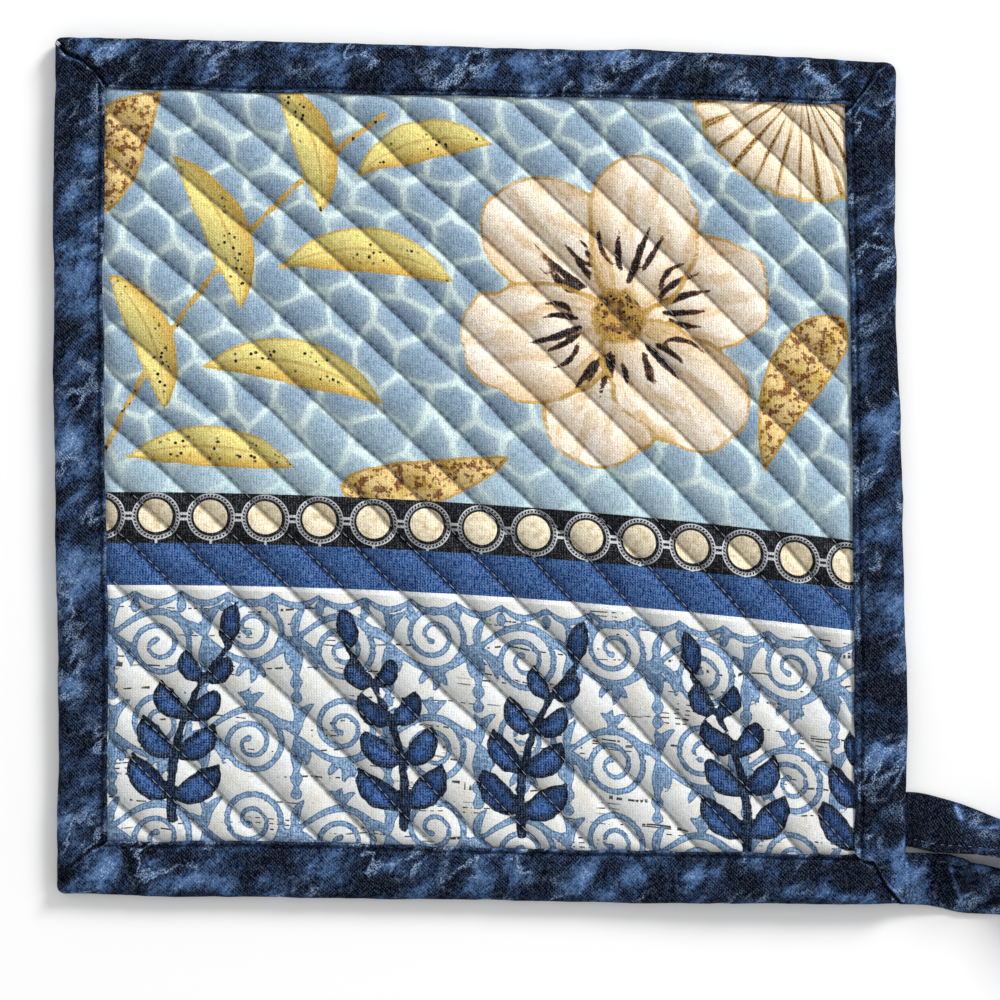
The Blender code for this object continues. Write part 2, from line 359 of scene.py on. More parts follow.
STITCH = 2.5
PUCKER = 0.22
PUCKER_WIDTH = 0.7
CREASE = 0.2
CREASE_WIDTH = 2.6
CREASE_PLACE = 1.2
LOFT_VARIES = 0.09
GROOVE_SHARE = 0.45
GROOVE_WIDTH_UP = 0.074
GROOVE_WIDTH_DOWN = 0.145
SEAM_SINK = 0.7
SLIT = 0.5
SLIT_WIDTH = 0.02
WANDER = 0.045
WANDER_LENGTH = 16.0
MIDDLE = 1.65


def seam_wander(along, line):
    """How far a seam strays sideways from its even line, in channels."""
    return WANDER * soft_noise(along / WANDER_LENGTH, line, 6)


def channel_place(x, y):
    """The way along the channels, the channel's number, and the place across it from 0 to 1."""
    along, offset = to_quilt(x, y)
    line = line_at(offset)
    line = line - seam_wander(along, line)
    channel = np.floor(line)
    return along, channel, line - channel


def under_binding(x, y, height, tongue):
    """Presses the cloth to the height of its tongue where it runs under the binding."""
    share = (inside_binding(x, y) - SHOULDER_START) / (SHOULDER_END - SHOULDER_START)
    shoulder = np.sin(np.clip(share, 0, 1) * math.pi / 2)
    return raised(x, y, tongue + (height - tongue) * shoulder)


def top_height(x, y):
    """The upper face: round channels between narrow seams with puckers beside them."""
    along, channel, place = channel_place(x, y)
    edge = np.minimum(place, 1 - place)
    arch = 1 - (1 - 2 * edge) ** 2
    wall = 1 - hump(edge, np.where(place < 0.5, GROOVE_WIDTH_UP, GROOVE_WIDTH_DOWN))
    crest = (1 - GROOVE_SHARE) * arch + GROOVE_SHARE * wall
    loft = 1 + LOFT_VARIES * soft_noise(along / 23, channel * 3.7, 1)
    loft += LOFT_VARIES / 2 * soft_noise(along / 7, channel * 5.3, 2)
    height = VALLEY_TOP - SEAM_SINK + (CREST_TOP - VALLEY_TOP + SEAM_SINK) * crest * loft
    height -= SLIT * hump(edge, SLIT_WIDTH)
    seam = edge * CHANNEL
    line = np.round(channel + place)
    dips = np.cos(2 * np.pi * (along / STITCH + lattice(line, 0, 3)))
    height += PUCKER * hump(seam, PUCKER_WIDTH) * (0.5 - dips)
    crease = soft_noise(along / 2.4 + place, line * 2.1 + place, 4)
    height += CREASE * crease * hump(seam - CREASE_PLACE, CREASE_WIDTH) * crest
    return under_binding(x, y, height, EDGE_THICKNESS - CLOTH - GAP)


def under_height(x, y):
    """The under face, pressed flat where it rests."""
    crest = np.sin(np.pi * channel_place(x, y)[2]) ** ROUNDNESS
    flattened = np.minimum(crest / math.sin(math.pi * (1 - FLAT_CREST) / 2) ** ROUNDNESS, 1)
    return under_binding(x, y, VALLEY_UNDER * (1 - flattened), CLOTH + GAP)


def quilt_grid(cuts, step):
    """A flat sheet cut along the quilting, trimmed a little way under the binding.

    cuts are the places of the cuts in half a channel, from its seam.
    """
    across = np.array(cuts + (0.5,) + tuple(1 - cut for cut in cuts[:0:-1]))
    lines = (np.arange(FIRST_LINE, LAST_LINE)[:, None] + across).ravel()
    reach = 1.5 * QUILT_REACH
    along, line = np.meshgrid(np.arange(-reach, reach + step / 2, step), lines)
    x, y = from_quilt(along, line_offset(line + seam_wander(along, line)))
    near = inside_binding(x, y) > -TONGUE - 2
    index = np.arange(x.size).reshape(x.shape)
    kept = near[:-1, :-1] & near[1:, :-1] & near[:-1, 1:] & near[1:, 1:]
    corners = (index[:-1, :-1], index[:-1, 1:], index[1:, 1:], index[1:, :-1])
    faces = np.stack([corner[kept] for corner in corners], axis=1)
    used, faces = np.unique(faces, return_inverse=True)
    points = np.stack((x.ravel()[used], y.ravel()[used], np.zeros(len(used))), axis=1)
    mesh = bpy.data.meshes.new("quilt_grid")
    mesh.from_pydata(points.tolist(), [], faces.reshape(-1, 4).tolist())
    sheet = bmesh.new()
    sheet.from_mesh(mesh)
    bpy.data.meshes.remove(mesh)
    for number, start in enumerate(INNER_CORNERS):
        along_side = INNER_CORNERS[(number + 1) % 4] - start
        outward = Vector((along_side[1], -along_side[0], 0)).normalized()
        bmesh.ops.bisect_plane(
            sheet,
            geom=sheet.verts[:] + sheet.edges[:] + sheet.faces[:],
            plane_co=Vector((*start, 0)) + outward * TONGUE,
            plane_no=outward,
            clear_outer=True,
            dist=1e-4,
        )
    bmesh.ops.remove_doubles(sheet, verts=sheet.verts[:], dist=0.02)
    return sheet


def close_sheet(sheet, name, heights, middle):
    """Puffs the sheet, and closes it with a wall and a face at the pad's middle."""
    places = np.array([vert.co[:] for vert in sheet.verts])
    for vert, top in zip(sheet.verts, heights(places[:, 0], places[:, 1])):
        vert.co.z = top
    rim = [edge for edge in sheet.edges if edge.is_boundary]
    for item in bmesh.ops.extrude_edge_only(sheet, edges=rim)["geom"]:
        if isinstance(item, bmesh.types.BMVert):
            item.co.z = middle
    rim = [edge for edge in sheet.edges if edge.is_boundary]
    inner = bmesh.ops.holes_fill(sheet, edges=rim, sides=0)["faces"]
    # the face is cut where the raised corner starts and ends, so that its parts stay flat
    for reach in (RAISE_START, RAISE_END):
        edges = {edge for face in inner for edge in face.edges}
        verts = {vert for face in inner for vert in face.verts}
        cut = bmesh.ops.bisect_plane(
            sheet,
            geom=inner + list(edges) + list(verts),
            plane_co=Vector((reach, -reach, 0)) / math.sqrt(2),
            plane_no=Vector((1, -1, 0)) / math.sqrt(2),
        )
        inner = [item for item in cut["geom"] if isinstance(item, bmesh.types.BMFace)]
    for vert in {vert for face in inner for vert in face.verts}:
        vert.co.z = float(raised(vert.co.x, vert.co.y, middle))
    bmesh.ops.recalc_face_normals(sheet, faces=sheet.faces[:])
    bmesh.ops.scale(sheet, vec=(MM, MM, MM), verts=sheet.verts[:])
    mesh = bpy.data.meshes.new(name)
    sheet.to_mesh(mesh)
    sheet.free()
    return mesh


# ---- the print, drawn as signed distances in millimetres, less than 0 inside a shape ----

PRINT_DROP = 14.45
PRINT_SLOPE = 0.0682
PRINT_BEND = 0.000348
PRINT_STRETCH = 0.00017
FAR = 3.0


def print_place(x, y):
    """The print's own axes: across the cloth, and up from the middle of the row of discs."""
    middle = -PRINT_DROP - PRINT_SLOPE * x - PRINT_BEND * x**2
    return x + PRINT_STRETCH * x**2, y - middle


def nearest(x, y, chains):
    """The distance to the nearest of some chains of discs, each (x, y, radius), at most FAR."""
    distance = np.full(x.shape, FAR)
    for chain in chains:
        chain = np.asarray(chain)
        reach = chain[:, 2].max() + FAR
        low = chain[:, :2].min(axis=0) - reach
        high = chain[:, :2].max(axis=0) + reach
        near = np.nonzero((x > low[0]) & (x < high[0]) & (y > low[1]) & (y < high[1]))[0]
        if len(near):
            gaps = np.hypot(x[near, None] - chain[:, 0], y[near, None] - chain[:, 1])
            distance[near] = np.minimum(distance[near], (gaps - chain[:, 2]).min(axis=1))
    return distance


def bent_line(start, end, bend, steps):
    """Points from start to end, bulging to the left by bend at the middle."""
    t = np.linspace(0, 1, steps)
    start = np.array(start, dtype=float)
    along = np.array(end, dtype=float) - start
    left = np.array((-along[1], along[0])) / np.hypot(*along)
    return t, start + np.outer(t, along) + np.outer(4 * bend * t * (1 - t), left)


def taper(t, first, last, power):
    """The width of a leaf along its length, 1 at most."""
    return np.sin(np.pi * np.clip(t, first, last)) ** power


def blade(start, end, bend, steps, widths):
    """A chain of discs along a bent line. widths gives the half width for each place from 0 to 1."""
    t, spine = bent_line(start, end, bend, steps)
    return np.column_stack((spine, widths(t)))


def heading(angle, length):
    return length * np.array((math.cos(angle), math.sin(angle)))


class Artwork:
    """The shapes of the upper part of the print, painted one over another."""

    def __init__(self, x, y):
        self.x = x
        self.y = y
        self.kinds = {}
        self.edge = np.full(x.shape, FAR)
        self.across = np.zeros(x.shape)
        self.along = np.zeros(x.shape)

    def paint(self, kind, distance, across, along):
        self.kinds[kind] = np.minimum(self.kinds.get(kind, FAR), distance)
        self.edge = np.where(distance < 0, -distance, np.minimum(self.edge, distance))
        rim = distance < 0.8
        self.across = np.where(rim, across, self.across)
        self.along = np.where(rim, along, self.along)

    def bent_shape(self, kind, ends, bend, widths, wave):
        """A leaf, bud or petal along a bent line between two ends, with a wavy edge."""
        start, end = np.array(ends, dtype=float).reshape(2, 2)
        shape = blade(start, end, bend, 48, widths)
        distance = nearest(self.x, self.y, [shape])
        distance = distance + wave * soft_noise(self.x / 5, self.y / 5, 9)
        length = np.hypot(*(end - start))
        turn_x, turn_y = (end - start) / length
        gap_x, gap_y = self.x - start[0], self.y - start[1]
        ahead = (gap_x * turn_x + gap_y * turn_y) / length
        place = np.clip(ahead, 0, 1)
        side = gap_y * turn_x - gap_x * turn_y - 4 * bend * place * (1 - place)
        width = np.interp(place, np.linspace(0, 1, 48), np.maximum(shape[:, 2], 0.6))
        self.paint(kind, distance, side / width, ahead)


Leaf = namedtuple("Leaf", "start_x start_y end_x end_y bend half_width")
LEAVES = [Leaf(*row) for row in (
    (-88, 15, -46, 13, 4.0, 5.2),
    (-79, 27, -93, 62, -4.0, 5.0),
    (-70, 38, -24, 30, 6.0, 5.8),
    (-60, 52, -77, 92, -5.0, 5.6),
    (-50, 64, -6, 62, 6.5, 5.8),
    (-40, 78, -52, 112, -4.5, 5.2),
    (-31, 88, 4, 98, 5.0, 5.2),
)]
BUDS = [Leaf(*row) for row in (
    (-100, 78, -80, 108, 3.0, 9.5),
    (94, 62, 74, 22, -4.0, 7.5),
    (-34, 9, 8, 19, -3.0, 6.2),
)]
Petal = namedtuple("Petal", "turn length half_width bend")
PETALS = [Petal(*row) for row in (
    (18, 41, 14.5, 3.0),
    (138, 43, 15.5, -3.0),
    (258, 40, 14.5, 2.5),
    (78, 42, 14.0, -2.0),
    (198, 42, 15.0, 2.0),
    (318, 41, 14.0, -3.5),
)]
BLOOM_X = 36.0
BLOOM_Y = 57.0
PETAL_ROOT = 2.5
HEART = 6.5
FAN_X = 84.0
FAN_Y = 121.0
FAN_RADIUS = 29.0
FAN_SCALLOPS = 30


def petal_width(half_width):
    return lambda t: PETAL_ROOT + (half_width - PETAL_ROOT) * np.sin(0.62 * np.pi * t) ** 1.3


def bloom_strokes():
    """The dark strokes round the bloom's heart, five on each petal."""
    bloom = np.array((BLOOM_X, BLOOM_Y))
    for number, petal in enumerate(PETALS):
        for stroke in range(-2, 3):
            chance = lattice(number * 5.0, stroke, 8)
            outer = abs(stroke)
            near = math.radians(petal.turn + 8.5 * stroke + 3 * chance)
            far = math.radians(petal.turn + 10.5 * stroke + 5 * chance)
            start = 9.5 + 1.5 * outer + chance
            end = start + 13.0 - 2.6 * outer + 4.0 * chance
            t, spine = bent_line(heading(near, start), heading(far, end), 0.5 * stroke + chance, 30)
            widths = (1.0 - 0.12 * outer) * taper(0.06 + 0.88 * t**0.7, 0, 1, 0.8)
            yield np.column_stack((spine + bloom, widths))


def draw_upper(x, y):
    """Buds, a spray of leaves, a striped bloom at the corner and a large bloom on top."""
    art = Artwork(x, y)
    for bud in BUDS:
        widths = lambda t: bud.half_width * taper(np.clip(t, 0.01, 0.985) ** 0.65, 0, 1, 0.85)
        art.bent_shape("bud", bud[:4], bud.bend, widths, 0.5)
    stem = nearest(x, y, [blade((-99, 4), (-24, 104), 9.0, 90, lambda t: np.full(len(t), 0.8))])
    art.paint("leaf", stem, np.zeros(x.shape), np.full(x.shape, 0.1))
    for leaf in LEAVES:
        widths = lambda t: leaf.half_width * taper(t, 0.015, 0.985, 0.9)
        art.bent_shape("leaf", leaf[:4], leaf.bend, widths, 0.35)
    reach = np.hypot(x - FAN_X, y - FAN_Y)
    turn = np.arctan2(y - FAN_Y, x - FAN_X) / (2 * math.pi)
    scallop = np.abs(np.sin(math.pi * FAN_SCALLOPS * turn))
    fan = np.minimum(reach - FAN_RADIUS - 0.9 * scallop, FAR)
    art.paint("fan", fan, turn, reach / FAN_RADIUS)
    for petal in PETALS:
        widths = petal_width(petal.half_width)
        tip_x, tip_y = heading(math.radians(petal.turn), petal.length - widths(1.0))
        ends = (BLOOM_X, BLOOM_Y, BLOOM_X + tip_x, BLOOM_Y + tip_y)
        art.bent_shape("bloom", ends, petal.bend, widths, 1.1)
    art.kinds["stroke"] = nearest(x, y, bloom_strokes())
    heart = np.hypot(x - BLOOM_X, y - BLOOM_Y) - HEART + 0.7 * soft_noise(x / 2, y / 2, 5)
    art.paint("heart", np.minimum(heart, FAR), np.zeros(x.shape), np.zeros(x.shape))
    return art


# the scrolls: rows of a waving vine with a spiral under each crest and over each trough
ROW_TOP = -30.5
ROW_STEP = 24.5
ROWS = 3
WAVE = 46.0
WAVE_HEIGHT = 6.2
VINE_HALF = 0.74
SPIRAL_RADIUS = 8.6
SPIRAL_PITCH = 3.7
SPIRAL_TURNS = 1.95
SPIRAL_STEPS = 90
BALUSTER = 14.0
SWAG = WAVE / 4
SWAG_TOP = -19.3
SWAG_SAG = 2.7
SWAG_DROP = 4.6
SPRIG_STEP = 44.0
SPRIG_FIRST = -70.0
SPRIG_FOOT = -77
SPRIG_TOP = -33


def vine_point(x, row):
    middle = ROW_TOP - ROW_STEP * row
    return middle + WAVE_HEIGHT * math.sin(2 * math.pi * x / WAVE + row * math.pi)


def spiral_chain(x, row, side):
    """A spiral that leaves the vine at its crest or trough, curls in and ends in a ball."""
    centre_y = vine_point(x, row) - side * SPIRAL_RADIUS
    share = np.arange(SPIRAL_STEPS + 1) / SPIRAL_STEPS
    turned = SPIRAL_TURNS * share
    radius = SPIRAL_RADIUS - SPIRAL_PITCH * turned
    angle = side * (math.pi / 2 - 2 * math.pi * turned)
    widths = VINE_HALF * (1.25 - 0.5 * share)
    widths[-1] = VINE_HALF * 1.25
    return np.column_stack((x + radius * np.cos(angle), centre_y + radius * np.sin(angle), widths))


def husk_chain(base, lean, length, half_width):
    """A small bent leaf that springs from the vine."""
    bend = 0.16 * length * (1 if math.cos(lean) > 0 else -1)
    tip = np.array(base) + heading(lean, length)
    return blade(base, tip, bend, 16, lambda t: half_width * taper(t * 0.88 + 0.1, 0, 1, 0.8))


def post_width(t):
    """A turned post with a collar and a ball at its foot."""
    return 0.7 + 0.9 * hump(t - 0.3, 0.2) + 0.9 * hump(t - 0.72, 0.05) + 0.8 * hump(t - 1, 0.04)


def frieze_scrolls():
    """The chains of discs that make up the frieze's ornament."""
    for number in range(-9, 9):
        start = ((number + 0.5) * SWAG, SWAG_TOP)
        end = (start[0] + SWAG, SWAG_TOP)
        yield blade(start, end, -SWAG_SAG, 40, lambda t: 0.45 + 0.45 * np.sin(np.pi * t))
        end = (start[0], SWAG_TOP - SWAG_DROP)
        yield blade(start, end, 0.0, 20, lambda t: 0.35 + 0.85 * hump(t - 0.75, 0.3))
    quarter = WAVE / 4
    for row in range(ROWS):
        for half in range(-6, 6):
            crest = (half + 0.5) * WAVE / 2
            places = np.arange(crest - quarter, crest + quarter, 0.4)
            widths = VINE_HALF * (1.35 - 0.55 * np.abs(places - crest) / quarter)
            heights = [vine_point(place, row) for place in places]
            yield np.column_stack((places, heights, widths))
            side = 1 if vine_point(crest, row) > ROW_TOP - ROW_STEP * row else -1
            yield spiral_chain(crest, row, side)
            base = (crest + quarter, vine_point(crest + quarter, row))
            for lean, length, width in (
                (side * 1.05, 9.5, 1.3),
                (side * 1.75, 8.0, 1.1),
                (-side * 1.3, 8.5, 1.2),
                (math.pi - side * 0.55, 6.5, 1.0),
            ):
                yield husk_chain(base, lean, length, width)
            top = base[1] - 1.0
            yield blade((base[0], top), (base[0], top - BALUSTER), 0.0, 60, post_width)
            if side == 1 and row == 0:
                continue
            base = (crest, vine_point(crest, row) + side * 0.6)
            for spread in (-0.75, 0.0, 0.75):
                yield husk_chain(base, side * (math.pi / 2 + spread), 5.0, 1.0)


def frieze_sprigs():
    """Navy sprays of leaves: a bent stem with pairs of leaves and one at its tip."""
    for number in range(5):
        flip = 1 if number % 2 == 0 else -1
        foot = SPRIG_FIRST + SPRIG_STEP * number
        lean = 7.0 * flip
        ends = (foot - lean, SPRIG_FOOT), (foot + lean, SPRIG_TOP)
        stem = blade(*ends, 5.0 * flip, 90, lambda t: 1.3 - 0.6 * t)
        yield stem
        for pair in range(4):
            base = stem[10 + 20 * pair, :2]
            for side in (-1, 1):
                turn = math.pi / 2 - side * (0.85 - 0.06 * pair) - 0.12 * flip
                tip = base + heading(turn, 14.2 - 1.9 * pair)
                widest = 3.7 - 0.4 * pair
                yield blade(base, tip, -1.8 * side, 26, lambda t: widest * taper(t, 0.02, 0.97, 0.85))
        base = stem[-1, :2]
        tip = base + np.array((2.0 * flip, 11.0))
        yield blade(base, tip, 0.8 * flip, 26, lambda t: 2.7 * taper(t, 0.03, 0.96, 0.85))


def add_print(mesh):
    """Stores the print's axes and shapes on the mesh, for its material."""
    x, y, _ = mesh_points(mesh)
    across, up = print_place(x, y)
    add_vectors(mesh, "print", (across, up, np.zeros(len(across))))
    art = draw_upper(across, up)
    for kind, distance in art.kinds.items():
        add_numbers(mesh, kind, distance)
    add_vectors(mesh, "shape", (art.edge, art.across, art.along))
    add_numbers(mesh, "scroll", nearest(across, up, frieze_scrolls()))
    ragged = 0.3 * soft_noise(across / 1.4, up / 1.4, 12)
    add_numbers(mesh, "sprig", nearest(across, up, frieze_sprigs()) + ragged)


# ---- shader arithmetic ----

def srgb(red, green, blue):
    """A linear colour from the 0 to 255 values that a screen shows."""
    linear = []
    for value in (red, green, blue):
        value /= 255
        linear.append(value / 12.92 if value <= 0.04045 else ((value + 0.055) / 1.055) ** 2.4)
    return (*linear, 1.0)


def plug(tree, socket, value):
    """Puts a field, a number, a colour or the name of an ink into a socket."""
    if isinstance(value, Field):
        tree.links.new(value.socket, socket)
    else:
        socket.default_value = INK[value] if isinstance(value, str) else value


def add_node(tree, kind, sockets, **settings):
    """A shader node with these settings, and these numbers, colours or fields in its sockets."""
    node = tree.nodes.new("ShaderNode" + kind)
    for name, value in settings.items():
        setattr(node, name, value)
    for name, value in sockets.items():
        plug(tree, node.inputs[name], value)
    return node


class Field:
    """A number or vector that shader nodes work out, written as ordinary arithmetic."""

    def __init__(self, tree, socket):
        self.tree = tree
        self.socket = socket

    def op(self, operation, *others):
        sockets = dict(enumerate((self, *others)))
        return Field(self.tree, add_node(self.tree, "Math", sockets, operation=operation).outputs[0])

    def vector_op(self, operation, socket, other):
        node = add_node(self.tree, "VectorMath", {0: self, socket: other}, operation=operation)
        return Field(self.tree, node.outputs[0])

    def __add__(self, other):
        return self.op("ADD", other)

    def __sub__(self, other):
        return self.op("SUBTRACT", other)

    def __mul__(self, other):
        return self.op("MULTIPLY", other)

    def __truediv__(self, other):
        return self.op("DIVIDE", other)

    def __neg__(self):
        return self.op("MULTIPLY", -1.0)

    def __abs__(self):
        return self.op("ABSOLUTE")

    def __rsub__(self, other):
        return -self + other

    __radd__ = __add__
    __rmul__ = __mul__

    def least(self, other):
        return self.op("MINIMUM", other)

    def most(self, other):
        return self.op("MAXIMUM", other)

    def wave(self):
        return self.op("SINE")

    def repeat(self, period):
        """From -period / 2 to period / 2, again and again."""
        return (self / period + 0.5).op("FRACT") * period - period / 2

    def rise(self, start, end):
        """A smooth step from 0 at start to 1 at end. start may be the greater number."""
        sockets = {"Value": self, "From Min": min(start, end), "From Max": max(start, end)}
        node = add_node(self.tree, "MapRange", sockets, interpolation_type="SMOOTHSTEP")
        result = Field(self.tree, node.outputs["Result"])
        return 1 - result if start > end else result

    def between(self, start, full, late, end):
        """A smooth step from 0 at start to 1 at full, and back from late to end."""
        return self.rise(start, full) * self.rise(end, late)


def stored(tree, name):
    """A number that the mesh stores under this name."""
    return Field(tree, add_node(tree, "Attribute", {}, attribute_name=name).outputs["Fac"])


def stored_vector(tree, name):
    """The three parts of a vector that the mesh stores under this name."""
    vector = Field(tree, add_node(tree, "Attribute", {}, attribute_name=name).outputs["Vector"])
    return [Field(tree, part) for part in add_node(tree, "SeparateXYZ", {0: vector}).outputs]


def vector_of(x, y, z=0.0):
    return Field(x.tree, add_node(x.tree, "CombineXYZ", {0: x, 1: y, 2: z}).outputs[0])


def noise(place, scale=1.0, detail=2.0, rough=0.5):
    sockets = {"Vector": place, "Scale": scale, "Detail": detail, "Roughness": rough}
    return Field(place.tree, add_node(place.tree, "TexNoise", sockets).outputs[0])


def specks(place):
    """The distance to the nearest of many scattered points, about one unit apart."""
    sockets = {"Vector": place, "Scale": 1.0, "Randomness": 1.0}
    return Field(place.tree, add_node(place.tree, "TexVoronoi", sockets).outputs["Distance"])


def mix(share, first, second):
    sockets = {0: share, 6: first, 7: second}
    node = add_node(share.tree, "Mix", sockets, data_type="RGBA", clamp_factor=True)
    return Field(share.tree, node.outputs[2])


def over(colour, *layers):
    """Lays other colours over one, each with its share."""
    for share, ink in layers:
        colour = mix(share, colour, ink)
    return colour


def new_material(name, roughness=0.95, sheen=0.03, specular=0.1):
    material = bpy.data.materials.new(name)
    material.use_nodes = True
    shader = material.node_tree.nodes["Principled BSDF"]
    shader.inputs["Roughness"].default_value = roughness
    shader.inputs["Specular IOR Level"].default_value = specular
    shader.inputs["Sheen Weight"].default_value = sheen
    shader.inputs["Sheen Roughness"].default_value = 0.6
    return material, material.node_tree, shader


def finish_cloth(shader, colour, height, distance):
    """Puts a colour, and a relief with a depth in millimetres, into a shader."""
    bump = add_node(height.tree, "Bump", {"Distance": distance * MM, "Height": height})
    height.tree.links.new(bump.outputs["Normal"], shader.inputs["Normal"])
    plug(height.tree, shader.inputs["Base Color"], colour)


THREAD_PITCH = 0.43
WARP = 0.95
WEFT = 0.75
GRAIN = 0.8
RIBS = 0.13
INKED = 0.52
BARE = 0.15
WEAVE_DEPTH = 0.05
DARKEST = (0.001, 0.002, 0.004)


def weave(shader, colour, u, v, strength=1.0):
    """Lightens and darkens a colour with its uneven threads, most of all where the ink is dark.

    strength says how much of that shows. The threads also stand up a little from the cloth.
    """
    over_under = (u * (math.pi / THREAD_PITCH)).wave() * (v * (math.pi / THREAD_PITCH)).wave()
    warp = noise(vector_of(u * 2.6, v * 0.6), detail=1.0) - 0.5
    weft = noise(vector_of(u * 0.6, v * 2.6, 7.0), detail=1.0) - 0.5
    grain = noise(vector_of(u, v, 3.0), scale=2.4, detail=1.0) - 0.5
    drift = noise(vector_of(u, v, 9.0), scale=0.7, detail=1.0) * 5.0
    ribs = (u * 9.6 + drift).wave() + (v * 9.6 - drift).wave() * 0.4
    ribs = ribs + (u * 6.2 + v * 8.4 + drift).wave() * 0.6
    uneven = warp * WARP + weft * WEFT + grain * GRAIN + ribs * RIBS
    relief = over_under * 0.35 + uneven * 1.4
    uneven = (uneven + over_under * 0.06) * strength
    bare = uneven * BARE
    inked = colour.vector_op("SCALE", "Scale", 1 + uneven * INKED)
    threads = inked.vector_op("ADD", 1, vector_of(bare, bare * 1.1, bare * 1.3))
    finish_cloth(shader, threads.vector_op("MAXIMUM", 1, DARKEST), relief, WEAVE_DEPTH)


# ---- the printed cloth ----

INK = {
    "cell": srgb(158, 178, 189),
    "cell_deep": srgb(130, 153, 174),
    "cell_pale": srgb(168, 191, 200),
    "net": srgb(200, 217, 214),
    "black": srgb(23, 21, 23),
    "band": srgb(58, 90, 138),
    "band_deep": srgb(40, 65, 105),
    "white": srgb(232, 234, 233),
    "ground": srgb(211, 214, 213),
    "ground_warm": srgb(204, 200, 189),
    "scroll": srgb(106, 133, 163),
    "scroll_deep": srgb(72, 98, 132),
    "scroll_pale": srgb(150, 176, 203),
    "navy": srgb(41, 67, 103),
    "navy_deep": srgb(16, 31, 47),
    "navy_pale": srgb(62, 94, 150),
    "cream": srgb(232, 220, 203),
    "tan": srgb(206, 177, 134),
    "gold": srgb(178, 143, 74),
    "brown": srgb(108, 74, 44),
    "dark": srgb(36, 30, 28),
    "yellow": srgb(216, 204, 128),
    "yellow_deep": srgb(194, 164, 84),
    "ochre": srgb(218, 192, 132),
    "rust": srgb(112, 62, 38),
    "disc": srgb(226, 215, 190),
    "disc_tan": srgb(198, 181, 144),
    "rope": srgb(202, 206, 210),
    "backing": srgb(112, 138, 166),
    "backing_pale": srgb(126, 152, 178),
    "marble_black": srgb(13, 22, 38),
    "marble_navy": srgb(36, 50, 73),
    "marble_blue": srgb(73, 101, 142),
    "marble_pale": srgb(160, 188, 225),
}

NET_WIDE = 12.8
NET_HIGH = 10.4
NET_WANDER = 11.0
BEAD_FIRST = 0.64
BEAD_STEP = 13.6


def reach_of(x, y):
    return (x * x + y * y).op("SQRT")


def net_edge(u, v):
    """How far a point lies from the lines of a net of staggered cells, in millimetres."""
    near = []
    beyond = []
    for shift in (0.0, 0.5):
        across = (u + shift * NET_WIDE).repeat(NET_WIDE)
        up = (v + shift * 2 * NET_HIGH).repeat(2 * NET_HIGH)
        near.append(reach_of(across, up))
        beyond.append(reach_of(NET_WIDE - abs(across), up))
    second = near[0].most(near[1]).least(beyond[0]).least(beyond[1])
    return (second - near[0].least(near[1])) / 2


def net_ground(u, v):
    """A net of pale lines over blue, like light on shallow water, paler towards the band."""
    wander = noise(vector_of(u, v), scale=0.06, detail=1.0) - 0.5
    wander_2 = noise(vector_of(u, v, 30.0), scale=0.06, detail=1.0) - 0.5
    edge = net_edge(u + wander * NET_WANDER, v + wander_2 * NET_WANDER)
    cloud = noise(vector_of(u, v), scale=0.035, detail=3.0)
    fine = noise(vector_of(u, v, 5.0), scale=0.45, detail=3.0)
    inner = edge.rise(3.4, 0.7) * 0.8 + (cloud - 0.5) * 1.3
    pale = v.rise(34.0, 5.0) * 0.6 + (fine - 0.4) * 0.6 + edge.rise(1.4, 0.5) * 0.3
    line = edge.rise(1.15, 0.3) * (fine * 0.6 + 0.56) * v.rise(4.0, 18.0).most(0.45)
    return over("cell_deep", (inner, "cell"), (pale, "cell_pale"), (line.least(0.9), "net"))


def bead_band(u, v):
    """Cream discs in rope rings, joined by links, on black."""
    across = (u - BEAD_FIRST).repeat(BEAD_STEP)
    reach = reach_of(across, v)
    inside = reach_of(across + 0.14, v - 0.12)
    mottle = noise(vector_of(u, v, 2.0), scale=0.55, detail=3.0)
    dashes = (v.op("ARCTAN2", across) * 38.0 + reach * 3.0).wave().rise(-0.1, 0.5)
    inner = reach.between(4.86, 4.96, 5.1, 5.2) * 0.55
    outer = reach.between(5.64, 5.76, 5.92, 6.05)
    twist = reach.between(5.12, 5.22, 5.62, 5.72) * dashes * 0.8
    link = abs(abs(v) - 0.68).rise(0.42, 0.24) * reach.rise(5.85, 6.0)
    knob = abs(across).rise(0.4, 0.25) * v.rise(-5.75, -5.95)
    rope = inner.most(outer).most(twist).most(link).most(knob)
    return over(
        "disc",
        (mottle.rise(0.4, 0.75), "disc_tan"),
        (inside.rise(4.12, 4.28), "black"),
        (rope * (0.55 + mottle * 0.6), "rope"),
    )


def dash_marks(u, v):
    """Fine broken rows of dark dashes, in patches."""
    row_bend = noise(vector_of(u * 0.05, v * 0.2, 11.0), detail=1.0)
    row = abs((v + row_bend * 5.0).repeat(7.0)).rise(0.28, 0.16)
    close_rows = abs((v + row_bend * 2.0).repeat(1.35)).rise(0.24, 0.12)
    broken = noise(vector_of(u * 0.6, v * 0.12, 13.0), detail=1.0).rise(0.47, 0.52)
    patches = noise(vector_of(u * 0.06, v * 0.12, 17.0), detail=1.0).rise(0.47, 0.52)
    clusters = noise(vector_of(u * 0.045, v * 0.12, 23.0), detail=1.0).rise(0.61, 0.65)
    return (row * patches).most(close_rows * clusters) * broken


